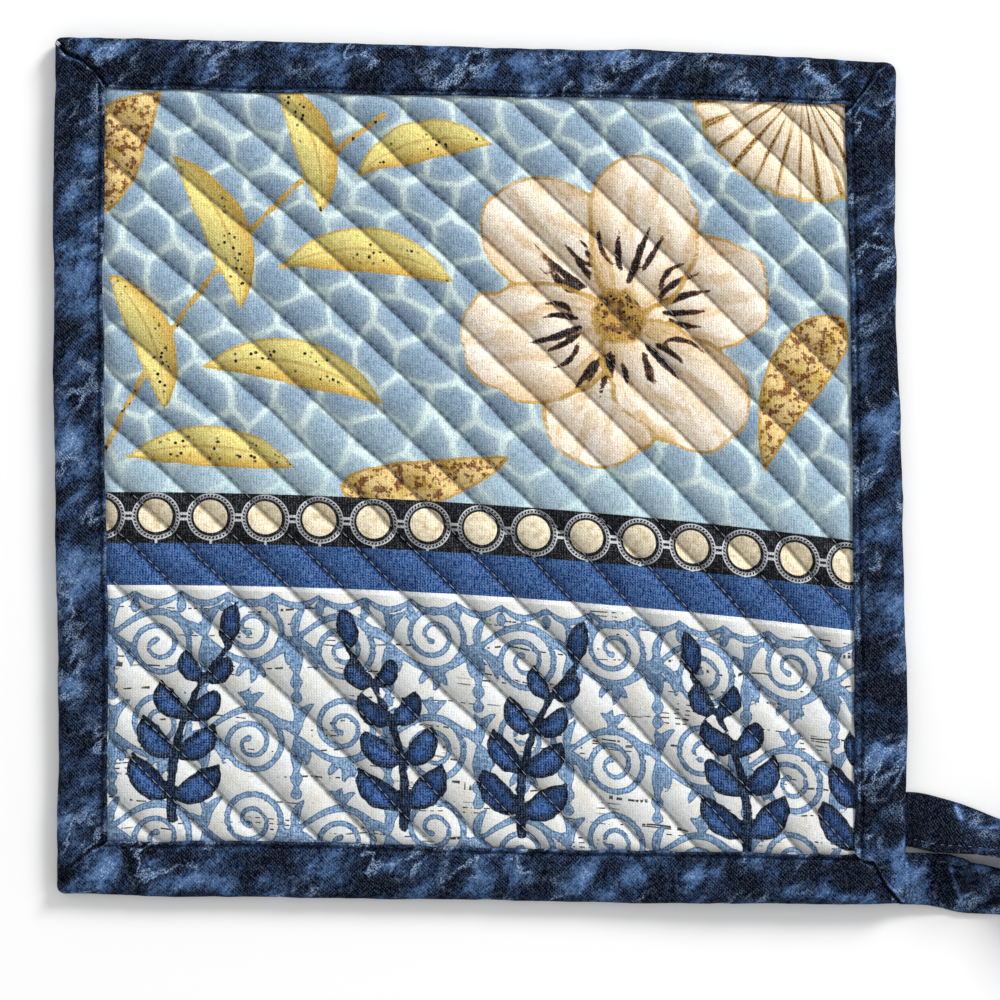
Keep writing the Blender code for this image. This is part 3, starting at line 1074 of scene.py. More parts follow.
def printed_cotton():
    """The motifs on their net, and below them the beads, the bands and the frieze."""
    material, tree, shader = new_material("printed_cotton")
    u, v, _ = stored_vector(tree, "print")
    edge, across, along = stored_vector(tree, "shape")
    place = vector_of(u, v)
    fine = noise(place, scale=1.3, detail=3.0)
    blotch = noise(place, scale=0.16, detail=3.0)
    mottle = noise(place, scale=0.42, detail=4.0, rough=0.62)
    # rough edges: the ink runs a little along the threads
    ragged = (fine - 0.5) * 0.35
    beside = abs(across)

    dots = specks(vector_of(u / 1.7, v / 1.7))
    spots = mottle.rise(0.5, 0.58).most(dots.rise(0.36, 0.26) * blotch.rise(0.4, 0.46)) * 0.9
    bud = over(
        "ochre",
        (blotch.rise(0.4, 0.7), "yellow_deep"),
        (spots, "rust"),
        (edge.rise(0.9, 0.4), "gold"),
    )
    dots = specks(vector_of(u / 1.5, v / 1.5, 4.0))
    where = noise(place, scale=0.11, detail=1.0)
    leaf = over(
        "yellow",
        (across.rise(0.1, -0.9), "yellow_deep"),
        (edge.rise(0.9, 0.3) * 0.7, "gold"),
        (beside.rise(0.12, 0.03) * 0.6, "gold"),
        (dots.rise(0.34, 0.24) * where.rise(0.48, 0.54) * beside.rise(0.85, 0.45), "dark"),
    )
    streak = noise(vector_of(across * 90.0, along * 2.0))
    stipple = noise(place, scale=1.9, detail=1.0)
    ribs = (across * (2 * math.pi * FAN_SCALLOPS) + (streak - 0.5) * 2.2).wave()
    fan = over(
        "cream",
        ((streak - 0.5) * 2.0 + stipple - 0.3, "ochre"),
        (ribs.rise(0.3, 0.85) * streak.rise(0.3, 0.5) * 0.9, "gold"),
        (ribs.rise(0.7, 0.95) * streak.rise(0.44, 0.52) * stipple.rise(0.42, 0.5), "brown"),
        (edge.rise(1.5, 0.4) * 0.85, "yellow_deep"),
    )
    wash = noise(vector_of(across * 3.0, along * 1.5, blotch * 2.0), detail=3.0)
    veins = abs((across * 3.1 + (wash - 0.5) * 0.8).repeat(1.0)).rise(0.16, 0.04)
    stroke = stored(tree, "stroke") + (mottle - 0.5) * 1.1
    bloom = over(
        "cream",
        (wash.rise(0.44, 0.68), "tan"),
        (along.rise(0.6, 0.05) * 0.7, "tan"),
        (across.rise(0.3, 1.0) * 0.7, "tan"),
        (beside.rise(0.5, 0.0) * along.rise(0.4, 0.8) * 0.35, "white"),
        (veins * along.rise(1.0, 0.35) * 0.6 * wash.rise(0.35, 0.6), "gold"),
        (stroke.rise(0.1, -0.12), mix(stroke.rise(-0.5, 0.05), "dark", "brown")),
        (edge.rise(0.85, 0.35) * blotch.rise(0.2, 0.5) * 0.9, "gold"),
    )
    heart = over("gold", (mottle.rise(0.45, 0.6), "brown"), (dots.rise(0.32, 0.2), "dark"))
    upper = over(
        net_ground(u, v),
        ((stored(tree, "bud") + ragged).rise(0.1, -0.1), bud),
        ((stored(tree, "leaf") + ragged).rise(0.1, -0.1), leaf),
        ((stored(tree, "fan") + ragged).rise(0.1, -0.1), fan),
        ((stored(tree, "bloom") + ragged).rise(0.35, 0.1), bloom),
        (stored(tree, "heart").rise(0.15, -0.15), heart),
    )

    scroll = stored(tree, "scroll") + ragged * 0.7
    glint = scroll.between(-0.74, -0.52, -0.38, -0.2) * fine.rise(0.4, 0.6)
    scroll_ink = over(
        "scroll",
        (scroll.rise(-0.36, -0.1) * 0.75, "scroll_deep"),
        (mottle.rise(0.45, 0.7) * 0.4, "scroll_deep"),
        (glint * 0.75, "scroll_pale"),
    )
    sprig = stored(tree, "sprig") + ragged * 0.7
    sprig_ink = over(
        "navy",
        (sprig.rise(-1.7, -0.4) * 0.9, "navy_deep"),
        (sprig.rise(-1.2, -2.6) * mottle.rise(0.38, 0.62) * 0.8, "navy_pale"),
    )
    frieze = over(
        "ground",
        (blotch.rise(0.4, 0.75) * 0.8, "ground_warm"),
        (dash_marks(u, v) * 0.95, "dark"),
        (scroll.rise(0.1, -0.1), scroll_ink),
        (sprig.rise(0.1, -0.1), sprig_ink),
    )

    # the bands, from below: frieze, white line, blue, black with discs, net
    base = v + ragged * 0.35
    colour = over(
        frieze,
        ((base - u * 0.0074).rise(-18.3, -18.15), "white"),
        (
            (base - u * 0.0074).rise(-17.1, -16.95),
            mix(blotch.rise(0.35, 0.7) * 0.55, "band", "band_deep"),
        ),
        ((base - u * 0.0058).rise(-6.52, -6.38), bead_band(u, v)),
        ((base - u * 0.003).rise(6.22, 6.38), upper),
    )

    # the threads show less on the frieze's ground, and more on its scrolls and the dark bands
    in_frieze = v.rise(-17.0, -18.0)
    bare_ground = in_frieze * scroll.rise(-0.1, 0.1) * sprig.rise(-0.1, 0.1)
    lines = in_frieze * scroll.rise(0.1, -0.1)
    dark = base.between(-17.0, -16.8, -6.5, -6.3).most(lines)
    weave(shader, colour, u, v, 1 - bare_ground * 0.42 + dark * 0.25)
    return material


def backing_cotton():
    material, tree, shader = new_material("backing_cotton")
    u, v, _ = stored_vector(tree, "print")
    cloud = noise(vector_of(u, v), scale=0.03, detail=3.0)
    weave(shader, mix(cloud.rise(0.3, 0.7), "backing", "backing_pale"), u, v)
    return material


# ---- the marbled cloth of the binding and the loop ----

DIAGONAL = math.sqrt(0.5)
MARBLED_THREADS = 0.64


def marbled_cotton():
    """Black and blue clouds with soft pale veins, on cloth cut on the bias."""
    material, tree, shader = new_material("marbled_cotton", sheen=0.0, specular=0.03)
    u, v, side = stored_vector(tree, "cloth")
    place = vector_of(u, v, side)
    drawn = vector_of((u + v) * 0.5, (u - v) * 0.85, side)
    cloud = noise(drawn, scale=0.15, detail=4.0, rough=0.62)
    grain = noise(place, scale=1.5, detail=3.0, rough=0.6)
    ridge = noise(drawn, scale=0.11, detail=4.0, rough=0.55)
    fleck = noise(place, scale=2.6).rise(0.4, 0.62)
    broken = noise(place, scale=0.07).rise(0.45, 0.6)
    # the stored tone: the marbling's blots, with painted shade in creases, grooves and dents and
    # painted highlights on folds
    marbling_and_painted_light = stored(tree, "marbling_and_painted_light")
    value = (cloud - 0.53) * 2.1 + marbling_and_painted_light * 0.5 + (grain - 0.5) * 0.9
    vein = abs(ridge - 0.5).rise(0.05, 0.0) * broken * fleck * (marbling_and_painted_light + 1).least(1.0)
    colour = over(
        "marble_black",
        (value.rise(-0.32, 0.06), "marble_navy"),
        (value.rise(0.0, 0.4), "marble_blue"),
        (value.rise(0.3, 0.8) * fleck, "marble_pale"),
        (vein * 0.75, "marble_pale"),
    )
    weave(shader, colour, (u + v) * DIAGONAL, (u - v) * DIAGONAL, MARBLED_THREADS)
    return material


def thread(name, colour):
    material, tree, shader = new_material(name, roughness=0.7, sheen=0.2)
    place = Field(tree, add_node(tree, "TexCoord", {}).outputs["Object"])
    fuzz = noise(place, scale=3000.0)
    deep = (*(value * 0.75 for value in colour[:3]), 1.0)
    finish_cloth(shader, mix(fuzz.rise(0.3, 0.7), deep, colour), fuzz, 0.05)
    return material


# Light and dark patches on the marbled cloth. Most are the marbling's own clouds; the rows marked
# below are painted shade.
Blot = namedtuple("Blot", "x y across up tone")
BLOTS_AND_PAINTED_SHADE = [Blot(*row) for row in (
    (-95.5, 108.4, 5.6, 2.4, 0.8),
    (-89.5, 102.6, 8.5, 3.2, -0.9),
    (-104.6, 109.0, 2.6, 1.8, -0.9),
    (-102.0, 94.0, 5.0, 6.0, -0.7),
    (-104.5, 71.0, 3.0, 5.0, 0.8),
    (-36.5, 104.0, 6.4, 4.6, 0.8),
    (-31.5, 102.0, 2.6, 1.6, -0.8),
    (-17.0, 103.5, 3.8, 3.8, -0.7),
    (10.5, 103.5, 10.0, 4.6, 0.6),
    (6.5, 102.5, 2.4, 2.4, -1.0),
    (35.5, 105.5, 10.0, 2.2, 0.7),
    (55.0, 102.0, 5.8, 3.8, -0.8),
    (-99.8, 81.5, 3.6, 4.6, 0.5),
    (-105.5, 83.5, 3.0, 5.0, -0.9),
    (-101.5, 48.5, 5.4, 8.6, 0.8),
    (-105.5, 36.5, 3.8, 3.0, -0.9),
    (-99.0, 23.0, 4.2, 5.6, -0.5),
    (-103.5, 7.5, 5.0, 4.6, 0.8),
    (-101.5, -15.0, 4.4, 3.6, -0.6),
    (-101.5, -26.5, 5.0, 7.4, 0.8),
    (-101.5, -39.5, 5.0, 3.6, -0.6),
    (-101.8, 0.0, 9.0, 80.0, 0.16),
    (-102.8, -55.0, 4.6, 3.8, 0.5),
    (-102.0, -68.5, 5.0, 6.0, -0.5),
    (-104.5, -91.5, 3.2, 4.6, 0.7),
    (-95.5, -101.8, 5.2, 3.2, 0.9),
    (-75.5, -98.5, 4.8, 2.8, -0.8),
    (-71.5, -103.8, 5.6, 2.2, 0.7),
    (-58.0, -99.0, 6.4, 4.0, -0.6),
    (-21.5, -105.0, 7.6, 2.2, -0.8),
    (1.0, -101.0, 3.2, 3.6, 0.7),
    (9.5, -102.5, 3.2, 3.6, 0.6),
    (17.5, -103.5, 3.2, 3.8, -0.7),
    (27.0, -101.5, 3.2, 3.2, 0.7),
    (58.5, -103.0, 5.6, 2.2, 0.6),
    (69.5, -105.0, 5.2, 3.2, -0.7),
    (92.5, -108.0, 6.4, 1.6, 0.8),
    (93.5, -102.5, 8.5, 3.2, -0.9),
    (106.6, -100.4, 3.2, 6.0, 0.7),
    # painted shade in the fold where the loop's lower strand starts to roll, in these two rows
    (118.2, -103.6, 1.9, 3.0, -2.4),
    (119.4, -107.2, 1.9, 3.0, -2.4),
    (113.0, -104.6, 3.0, 5.2, 0.8),
    (104.2, -91.0, 3.0, 5.0, -0.7),
    (108.2, -92.5, 0.7, 6.0, 0.9),
    # painted shade in the dent at the bottom left corner
    (-106.0, -103.8, 1.5, 1.6, -1.6),
    # painted shade beside the top right mitre's fold
    (101.6, 98.0, 2.2, 3.6, -1.0),
    (95.8, 97.6, 1.6, 2.6, -1.1),
    (92.6, 103.4, 2.0, 2.6, 0.5),
    (97.6, 102.6, 2.4, 2.0, -0.6),
    (103.6, 84.0, 2.6, 5.0, -0.8),
    (-88.2, -99.8, 1.2, 3.6, -0.9),
    (-84.8, -99.4, 2.6, 2.6, 0.5),
    (-100.6, 101.2, 2.4, 2.4, -0.7),
    # painted shade in the pocket of the top right mitre
    (105.0, 102.6, 1.6, 1.0, -1.2),
    (104.2, 12.0, 4.6, 3.2, 0.9),
    (104.0, 36.0, 4.6, 12.0, -0.5),
    (103.6, -16.0, 4.0, 3.2, 0.8),
    (101.0, -27.5, 3.6, 2.6, -0.9),
    (105.4, -35.0, 3.6, 5.2, 0.8),
    (104.2, -56.5, 5.2, 7.4, -1.0),
    (103.6, -71.5, 4.6, 3.2, 0.7),
    (102.4, -81.5, 4.0, 2.6, -0.8),
    (115.0, -87.5, 9.0, 9.0, -1.3),
    (122.8, -87.2, 1.0, 2.2, 1.1),
    (129.5, -90.6, 4.6, 0.4, 0.8),
)]

# painted highlights: pale lines along the edges of folds, where light would catch them
PaintedFoldHighlight = namedtuple("PaintedFoldHighlight", "start_x start_y end_x end_y width tone")
PAINTED_FOLD_HIGHLIGHTS = [PaintedFoldHighlight(*row) for row in (
    (120.6, -101.2, 121.7, -105.0, 0.45, 1.3),
    (121.7, -105.0, 123.3, -109.6, 0.45, 1.1),
    (109.2, -98.0, 109.4, -107.0, 0.5, 0.7),
    (121.9, -85.6, 123.4, -88.6, 0.5, 0.9),
    (84.0, 101.8, 88.8, 98.8, 0.7, 1.0),
    (98.4, 92.2, 103.0, 90.0, 0.7, 0.9),
)]


def add_cloth(mesh, cloth, tones):
    """Stores where each point lies on the flat marbled cloth, and its tone: the marbling's main light
    and dark blots, with painted shade and painted highlights added in.
    """
    add_vectors(mesh, "cloth", np.concatenate(cloth).T)
    x, y, _ = mesh_points(mesh)
    # painted highlights along the edges of folds
    for streak in PAINTED_FOLD_HIGHLIGHTS:
        tones = tones + streak.tone * hump(from_line(x, y, *streak[:4]), streak.width)
    # the marbling's light and dark blots, a few of them painted shade in folds, dents and pockets
    for marbling_and_painted_light in BLOTS_AND_PAINTED_SHADE:
        reach = np.hypot((x - marbling_and_painted_light.x) / marbling_and_painted_light.across, (y - marbling_and_painted_light.y) / marbling_and_painted_light.up)
        tones = tones + marbling_and_painted_light.tone * hump(reach, 1.0)
    add_numbers(mesh, "marbling_and_painted_light", np.clip(tones, -1.4, 1.2))


# ---- binding ----

HEM_INSET = {LEFT: 1.3, BOTTOM: 1.2, RIGHT: 1.8, TOP: 1.1}
HEM_GROOVE = 1.0
HEM_GROOVE_WIDTH = 0.4
HEM_LIP = 0.12
FOLD = 2.1
PUFF = 0.35
OUTER_WOBBLE = 0.3
INNER_WOBBLE = 0.22

# For each mitre: how far its seam lies along the binding from the true diagonal, at even shares
# of the width from the outer corner in; then the step up onto the side that comes after it (or
# down, if negative), the depth and width of the groove, whose width also spreads its painted shade,
# and how strong the painted highlight on the fold beside it is.
Mitre = namedtuple("Mitre", "shifts step depth width pale")
MITRE_SEAMS = (
    Mitre((-1.2, -1.8, -2.2, -2.4, -2.1, -2.1, -2.1, -0.8, 0.0), 0.5, 1.1, 0.45, 0.4),
    Mitre((-0.3, -0.3, -0.2, -0.1, 1.2, 3.0, 1.7, 0.4, 0.0), 0.7, 1.2, 0.45, 1.0),
    Mitre((0.6, 1.2, 1.4, 0.9, 0.2, -0.7, -1.6, -3.0, -3.6), -0.9, 1.0, 0.45, 1.1),
    Mitre((0.3, 0.9, 1.0, 0.2, -0.6, -1.1, -1.4, -1.1, -0.3), 0.7, 1.4, 0.55, 0.9),
)
# how dark the painted shade is in the mitres' grooves and in the creases
GROOVE_PAINTED_SHADE = 1.8
CREASE_PAINTED_SHADE = 1.3

Dent = namedtuple("Dent", "x y radius depth")
DENTS = [Dent(*row) for row in (
    (-106.0, -103.9, 1.55, 2.7),
    (104.6, 102.9, 0.8, 1.2),
    (107.4, -109.0, 1.1, 1.8),
)]

# folds pressed into the binding's face; their depth also sets the painted shade in them
Crease = namedtuple("Crease", "start_x start_y end_x end_y width depth")
CREASES = [Crease(*row) for row in (
    (-90.4, -95.6, -86.8, -107.2, 0.75, 0.6),
    (-88.6, -96.2, -83.8, -107.0, 0.7, -0.3),
    (87.8, 106.0, 94.4, 95.4, 1.3, 0.6),
    (-100.1, 105.4, -95.4, 100.9, 0.5, 0.6),
    (22.0, 104.6, 25.4, 97.6, 0.5, 0.4),
    (24.0, 104.6, 27.8, 97.6, 0.9, -0.25),
    (-107.2, 52.4, -96.6, 56.4, 0.5, 0.35),
    (-107.2, 53.8, -97.0, 57.8, 0.7, -0.3),
    (-107.6, 30.2, -95.8, 34.8, 0.5, 0.3),
    (-105.4, -86.8, -99.8, -82.6, 0.7, -0.3),
    (97.8, -25.6, 108.6, -25.0, 0.5, -0.3),
    (97.8, -27.0, 108.6, -26.6, 0.6, 0.3),
    (97.6, -50.8, 108.8, -43.6, 0.8, -0.3),
    (98.8, -84.6, 105.4, -86.0, 0.5, -0.25),
    (-46.2, -98.6, -46.8, -104.4, 0.5, -0.25),
    (-16.0, 110.0, -12.4, 100.2, 0.6, 0.3),
    (-64.6, 110.2, -64.0, 99.4, 0.5, -0.2),
    (40.6, -98.4, 46.4, -107.0, 0.8, 0.3),
    (62.0, -99.0, 70.2, -108.0, 0.9, 0.3),
    (9.0, -98.0, 4.4, -107.4, 0.8, 0.25),
)]
WRINKLES = 110
# how far apart on the flat cloth the sides lie, so that each shows another part of it
CLOTH_SHIFT = 9.0


def side_of(way):
    """The side, LEFT to TOP, for each place along the binding."""
    return np.searchsorted(MITRES, way) % 4


def wrinkle_table():
    """Place along the binding, distance, length, width, lean and height of each drag line."""
    chance = np.random.RandomState(21)
    spans = ((0, ROUND_WAY), (3.5, 10.0), (3.0, 6.0), (0.5, 1.1), (-0.9, 0.9), (0.06, 0.26))
    rows = []
    for _ in range(WRINKLES):
        row = [chance.uniform(*span) for span in spans]
        row[-1] *= chance.choice((-1, 1))
        rows.append(row)
    return rows


WRINKLE_TABLE = wrinkle_table()


def way_between(way, other):
    """The signed way from other to way, the short way round."""
    return (way - other + ROUND_WAY / 2) % ROUND_WAY - ROUND_WAY / 2


def from_line(x, y, start_x, start_y, end_x, end_y):
    """The distance from a straight piece of line."""
    run = np.array((end_x - start_x, end_y - start_y))
    share = np.clip(((x - start_x) * run[0] + (y - start_y) * run[1]) / (run @ run), 0, 1)
    return np.hypot(x - start_x - share * run[0], y - start_y - share * run[1])


def from_mitres(way, share):
    """The way from each mitre's seam, towards its upper side, for a share of the width."""
    for mitre, seam in zip(MITRES, MITRE_SEAMS):
        shift = np.interp(share, np.linspace(0, 1, len(seam.shifts)), seam.shifts)
        yield seam, np.sign(seam.step) * (way_between(way, mitre) - shift)


def crease_depth(x, y):
    return sum(crease.depth * hump(from_line(x, y, *crease[:4]), crease.width) for crease in CREASES)


def painted_fold_shade_and_highlight(way, share, x, y):
    """Painted shade in the creases and the mitres' grooves, and painted highlights on the folds
    beside those.
    """
    tone = -CREASE_PAINTED_SHADE * crease_depth(x, y)
    for seam, toward in from_mitres(way, share):
        tone -= GROOVE_PAINTED_SHADE * hump(toward + 0.35, seam.width)
        # painted highlight on the fold beside each mitre's groove
        tone += seam.pale * hump(toward - 0.45, 0.4)
    return tone


def binding_relief(way, distance, x, y):
    """How much the binding's upper face stands above or below its plain height."""
    inset = np.array([HEM_INSET[side] for side in range(4)])[side_of(way)]
    stitch = BINDING_WIDTH - inset
    relief = PUFF * np.sin(np.pi * np.clip((distance - 1.5) / (stitch - 1.5), 0, 1)) ** 0.8
    relief *= 1 + 0.6 * soft_noise(way / 17, distance / 30, 31)
    puckers = 0.95 + 0.05 * np.cos(2 * np.pi * way / STITCH)
    relief -= HEM_GROOVE * hump(distance - stitch, HEM_GROOVE_WIDTH) * puckers
    relief += HEM_LIP * hump(distance - stitch - inset / 2, inset / 3)
    relief += layered_noise(way, distance, ((0.14, 9, 6, 32), (0.06, 2.6, 2.2, 33)))
    for place, middle, length, width, lean, height in WRINKLE_TABLE:
        ahead = way_between(way, place)
        off = distance - middle
        run = ahead * math.sin(lean) + off * math.cos(lean)
        beside = ahead * math.cos(lean) - off * math.sin(lean)
        relief += height * hump(run, length) * hump(beside, width)
    for seam, toward in from_mitres(way, np.clip(distance / BINDING_WIDTH, 0, 1)):
        relief += abs(seam.step) * hump(toward, 2.6) * (toward > 0)
        relief -= seam.depth * hump(toward + 0.3, seam.width)
    for dent in DENTS:
        relief -= dent.depth * hump(np.hypot(x - dent.x, y - dent.y), dent.radius)
    return relief - crease_depth(x, y)


def binding_section():
    """Each point's distance from the outer edge, height, and share of the upper face's relief."""
    top = EDGE_THICKNESS
    last = BINDING_WIDTH - 0.5
    hem_start = 10.4
    rows = []
    for angle in math.pi * (np.arange(11) / 10 - 0.5):
        sine = math.sin(angle)
        rows.append((FOLD - FOLD * math.cos(angle), top / 2 * (1 + sine), max(0.0, sine) ** 2))
    flat = [*np.linspace(FOLD, hem_start, 17)[1:], *np.linspace(hem_start, last, 15)[1:]]
    rows += [(distance, top, 1.0) for distance in flat]
    hem = ((-0.25, -0.08), (-0.06, -0.25), (0.0, -0.55), (-0.04, -0.95), (-0.25, -1.2))
    rows += [(BINDING_WIDTH + inward, top + down, 1.0) for inward, down in hem]
    inner = (
        (11.8, 3.4), (8.0, 3.55), (3.0, 3.55), (1.5, 3.2), (1.1, 2.3), (1.5, 1.4), (3.0, 1.05),
        (8.0, 1.05), (11.8, 1.05),
    )
    rows += [(distance, height, 0.0) for distance, height in inner]
    rows += [(BINDING_WIDTH + inward, -down, 0.0) for inward, down in hem[::-1]]
    rows += [(distance, 0.0, 0.0) for distance in np.linspace(last, FOLD, 14)[:-1]]
    return np.array(rows)


def build_binding(material):
    section = binding_section()
    way = WAY[:-1]
    run = running(section[:, :2])
    start = run[np.argmax(section[:, 0] >= BINDING_WIDTH)]
    wobble_out = OUTER_WOBBLE * layered_noise(way, way * 0, ((1, 11, 1, 51), (1 / 3, 3.3, 1, 52)))
    wobble_in = INNER_WOBBLE * soft_noise(way / 6, way * 0, 53)
    rings = []
    cloth = []
    tones = []
    for (distance, height, share), place in zip(section, run):
        part = min(distance / BINDING_WIDTH, 1.0)
        wobble = wobble_out * (1 - part) + wobble_in * part
        x, y = (ring_at(distance) + OUTWARD * wobble[:, None]).T
        z = height + share * binding_relief(way, np.full(len(way), distance), x, y)
        rings.append(np.stack((x, y, raised(x, y, z)), axis=1))
        flat = ring_at(BINDING_WIDTH - (start - place))
        cloth.append(np.column_stack((flat, side_of(way) * CLOTH_SHIFT)))
        # painted shade in the creases and mitre grooves, painted highlights on the folds beside them
        tones.append(painted_fold_shade_and_highlight(way, part, x, y))
    faces = ring_faces(0, len(way), len(rings), closed=True)
    piece = make_object("binding", np.concatenate(rings), faces, material)
    add_cloth(piece.data, cloth, np.concatenate(tones))
    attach(piece, BODY)
    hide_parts("edge_binding")
    return piece


# ---- loop ----

LOOP_STITCH = 2.0
LOOP_PUFF = 0.22
LOOP_GROOVE = 0.45
ROOT_TUCK = 1.9
UNDER_SHIFT = 40.0
ROOT_SHARES = ((0.0, 6.5, 9.5, 13.0, 17.0, 26.0), (0.94, 0.945, 0.99, 0.99, 0.975, 1.0))
StripFold = namedtuple("StripFold", "way_start width_start way_end width_end size depth")
STRIP_FOLDS = [StripFold(*row) for row in (
    (10.0, 11.0, 13.2, 1.6, 1.4, 1.0),
    (12.6, 11.6, 16.2, 1.6, 0.8, -0.6),
    (3.0, 12.6, 5.4, 0.8, 1.2, 0.3),
    (22.0, 2.0, 27.0, 11.0, 1.2, 0.3),
    (33.0, 12.0, 38.0, 3.0, 1.4, 0.3),
    (118.0, 4.0, 126.0, 11.0, 1.2, -0.3),
    (131.0, 1.5, 134.0, 10.0, 1.2, 0.3),
)]


class Strip:
    """The loop's strip: its stations, and the place of any point of its upper face."""

    def __init__(self):
        rows = np.array(LOOP[:1] + LOOP, dtype=float)
        rows[0, 0] -= ROOT_TUCK
        steps = (len(rows) - 1) * LOOP_STEPS
        x, y, height, roll = curve(rows, np.arange(steps + 1) / steps).T
        along_x, along_y = np.gradient(x), np.gradient(y)
        length = np.hypot(along_x, along_y)
        flat = np.stack((-along_y / length, along_x / length, 0 * length), axis=1)
        up = np.array((0.0, 0.0, 1.0))
        cosine, sine = np.cos(np.radians(roll))[:, None], np.sin(np.radians(roll))[:, None]
        self.across = flat * cosine + up * sine
        self.out = up * cosine - flat * sine
        self.edge = np.stack((x, y, height), axis=1) + flat * STRIP_THICKNESS * sine
        self.way = running(np.stack((x, y), axis=1))
        self.share = np.interp(self.way, *ROOT_SHARES)

    def place(self, station, width, depth):
        """The point a width from the outer edge and a depth above the under face."""
        return (
            self.edge[station]
            + self.across[station] * np.asarray(width)[..., None] * self.share[station]
            + self.out[station] * np.asarray(depth)[..., None]
        )

    def relief(self, way, width):
        stitch = STRIP_WIDTH - LOOP_STITCH
        relief = LOOP_PUFF * np.sin(np.pi * np.clip(width / stitch, 0, 1)) ** 0.7
        relief -= LOOP_GROOVE * hump(width - stitch, 0.4)
        relief += layered_noise(way, width, ((0.1, 7, 5, 41), (0.05, 2.2, 2.5, 42)))
        for fold in STRIP_FOLDS:
            relief -= fold.depth * hump(from_line(way, width, *fold[:4]), fold.size)
        return relief


def strip_section():
    """Each point's width from the outer edge, depth, and share of the upper face's relief."""
    top = STRIP_THICKNESS
    end = STRIP_WIDTH
    rows = [(width, top, 1.0) for width in np.linspace(0.5, end - 0.5, 24)]
    rows += [(end - 0.2, top - 0.1, 0.5), (end, top - 0.35, 0.0), (end - 0.35, top / 2, 0.0)]
    rows += [(end, 0.35, 0.0), (end - 0.2, 0.1, 0.0)]
    rows += [(width, 0.0, 0.0) for width in np.linspace(end - 0.6, 0.6, 12)]
    rows += [(0.2, 0.15, 0.0), (0.0, top / 2, 0.0), (0.15, top - 0.15, 0.5)]
    return np.array(rows).T


def build_loop(material):
    strip = Strip()
    width, depth, share = strip_section()
    # the under face shows another part of the flat cloth
    across = LOOP[0].x + np.where(depth > STRIP_THICKNESS / 2, 0.0, UNDER_SHIFT)
    rings = []
    cloth = []
    for station, way in enumerate(strip.way):
        rings.append(strip.place(station, width, depth + share * strip.relief(way, width)))
        side = np.full(len(width), 2 * CLOTH_SHIFT)
        cloth.append(np.column_stack((across + way, LOOP[0].y + width, side)))
    faces = ring_faces(0, len(width), len(rings), closed=False)
    faces += [face[::-1] for face in end_faces(0, len(width), len(rings))]
    points = np.concatenate(rings)
    points[:, 2] = np.maximum(points[:, 2], 0.0)
    piece = make_object("loop", points, faces, material)
    add_cloth(piece.data, cloth, np.zeros(len(points)))
    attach(piece, BODY)
    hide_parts("hanging_loop")
    return strip


# ---- sewing ----

STITCH_SHOWN = 2.05
THREAD_RADIUS = 0.12
STITCH_SIDES = 5
StitchRing = namedtuple("StitchRing", "place size lift")
STITCH_RINGS = [StitchRing(*row) for row in (
    (-0.5, 0.4, -0.3),
    (-0.3, 0.95, 0.06),
    (0.0, 1.1, 0.12),
    (0.3, 0.95, 0.06),
    (0.5, 0.4, -0.3),
)]
STITCH_PLACES = np.array([ring.place for ring in STITCH_RINGS]) * STITCH_SHOWN
STITCH_LIFTS = np.array([ring.lift for ring in STITCH_RINGS])
UPPER_LIFT = SLIT + 0.08
UNDER_LIFT = 0.25
SUNK = 0.3
SUNK_FROM = -5.0
MITRE_CLEAR = 7.0
UP = np.array((0.0, 0.0, 1.0))


def stitch_mesh(name, stitches, material, slot):
    """Small spindles of thread. Each stitch is its middle points and the way out of the cloth."""
    points = []
    faces = []
    rings = len(STITCH_RINGS)
    for middles, out in stitches:
        along = middles[-1] - middles[0]
        beside = np.cross(out, along / np.linalg.norm(along))
        beside = beside / np.linalg.norm(beside)
        faces += ring_faces(len(points), STITCH_SIDES, rings, closed=False)
        faces += end_faces(len(points), STITCH_SIDES, rings)
        for middle, ring in zip(middles, STITCH_RINGS):
            for step in range(STITCH_SIDES):
                angle = 2 * math.pi * step / STITCH_SIDES
                spoke = beside * math.cos(angle) + out * math.sin(angle)
                points.append(middle + spoke * THREAD_RADIUS * ring.size)
    piece = make_object(name, points, faces, material)
    mesh = bmesh.new()
    mesh.from_mesh(piece.data)
    bmesh.ops.recalc_face_normals(mesh, faces=mesh.faces[:])
    mesh.to_mesh(piece.data)
    mesh.free()
    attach(piece, BODY)


def quilting_stitches(heights, side, lift):
    """Stitches along every quilting line, on the upper face (side 1) or under it (side -1).

    Above the bands they sink into their seams, some more than others.
    """
    stitches = []
    for line in range(FIRST_LINE, LAST_LINE + 1):
        middles = (np.arange(-60, 61) - lattice(line, 0, 3)) * STITCH + STITCH / 2
        along = middles[:, None] + STITCH_PLACES
        x, y = from_quilt(along, line_offset(line + seam_wander(along, float(line))))
        shown = inside_binding(x, y).min(axis=1) > 1.0
        middle_x, middle_y = x[:, 2:3], y[:, 2:3]
        sunk = SUNK * (print_place(middle_x, middle_y)[1] > SUNK_FROM)
        sunk = sunk * (1 + 0.4 * soft_noise(middle_x / 9, middle_y / 9, 61))
        z = heights(x, y) + side * (STITCH_LIFTS + lift - sunk)
        stitches += [(row, side * UP) for row in np.stack((x, y, z), axis=2)[shown]]
    return stitches


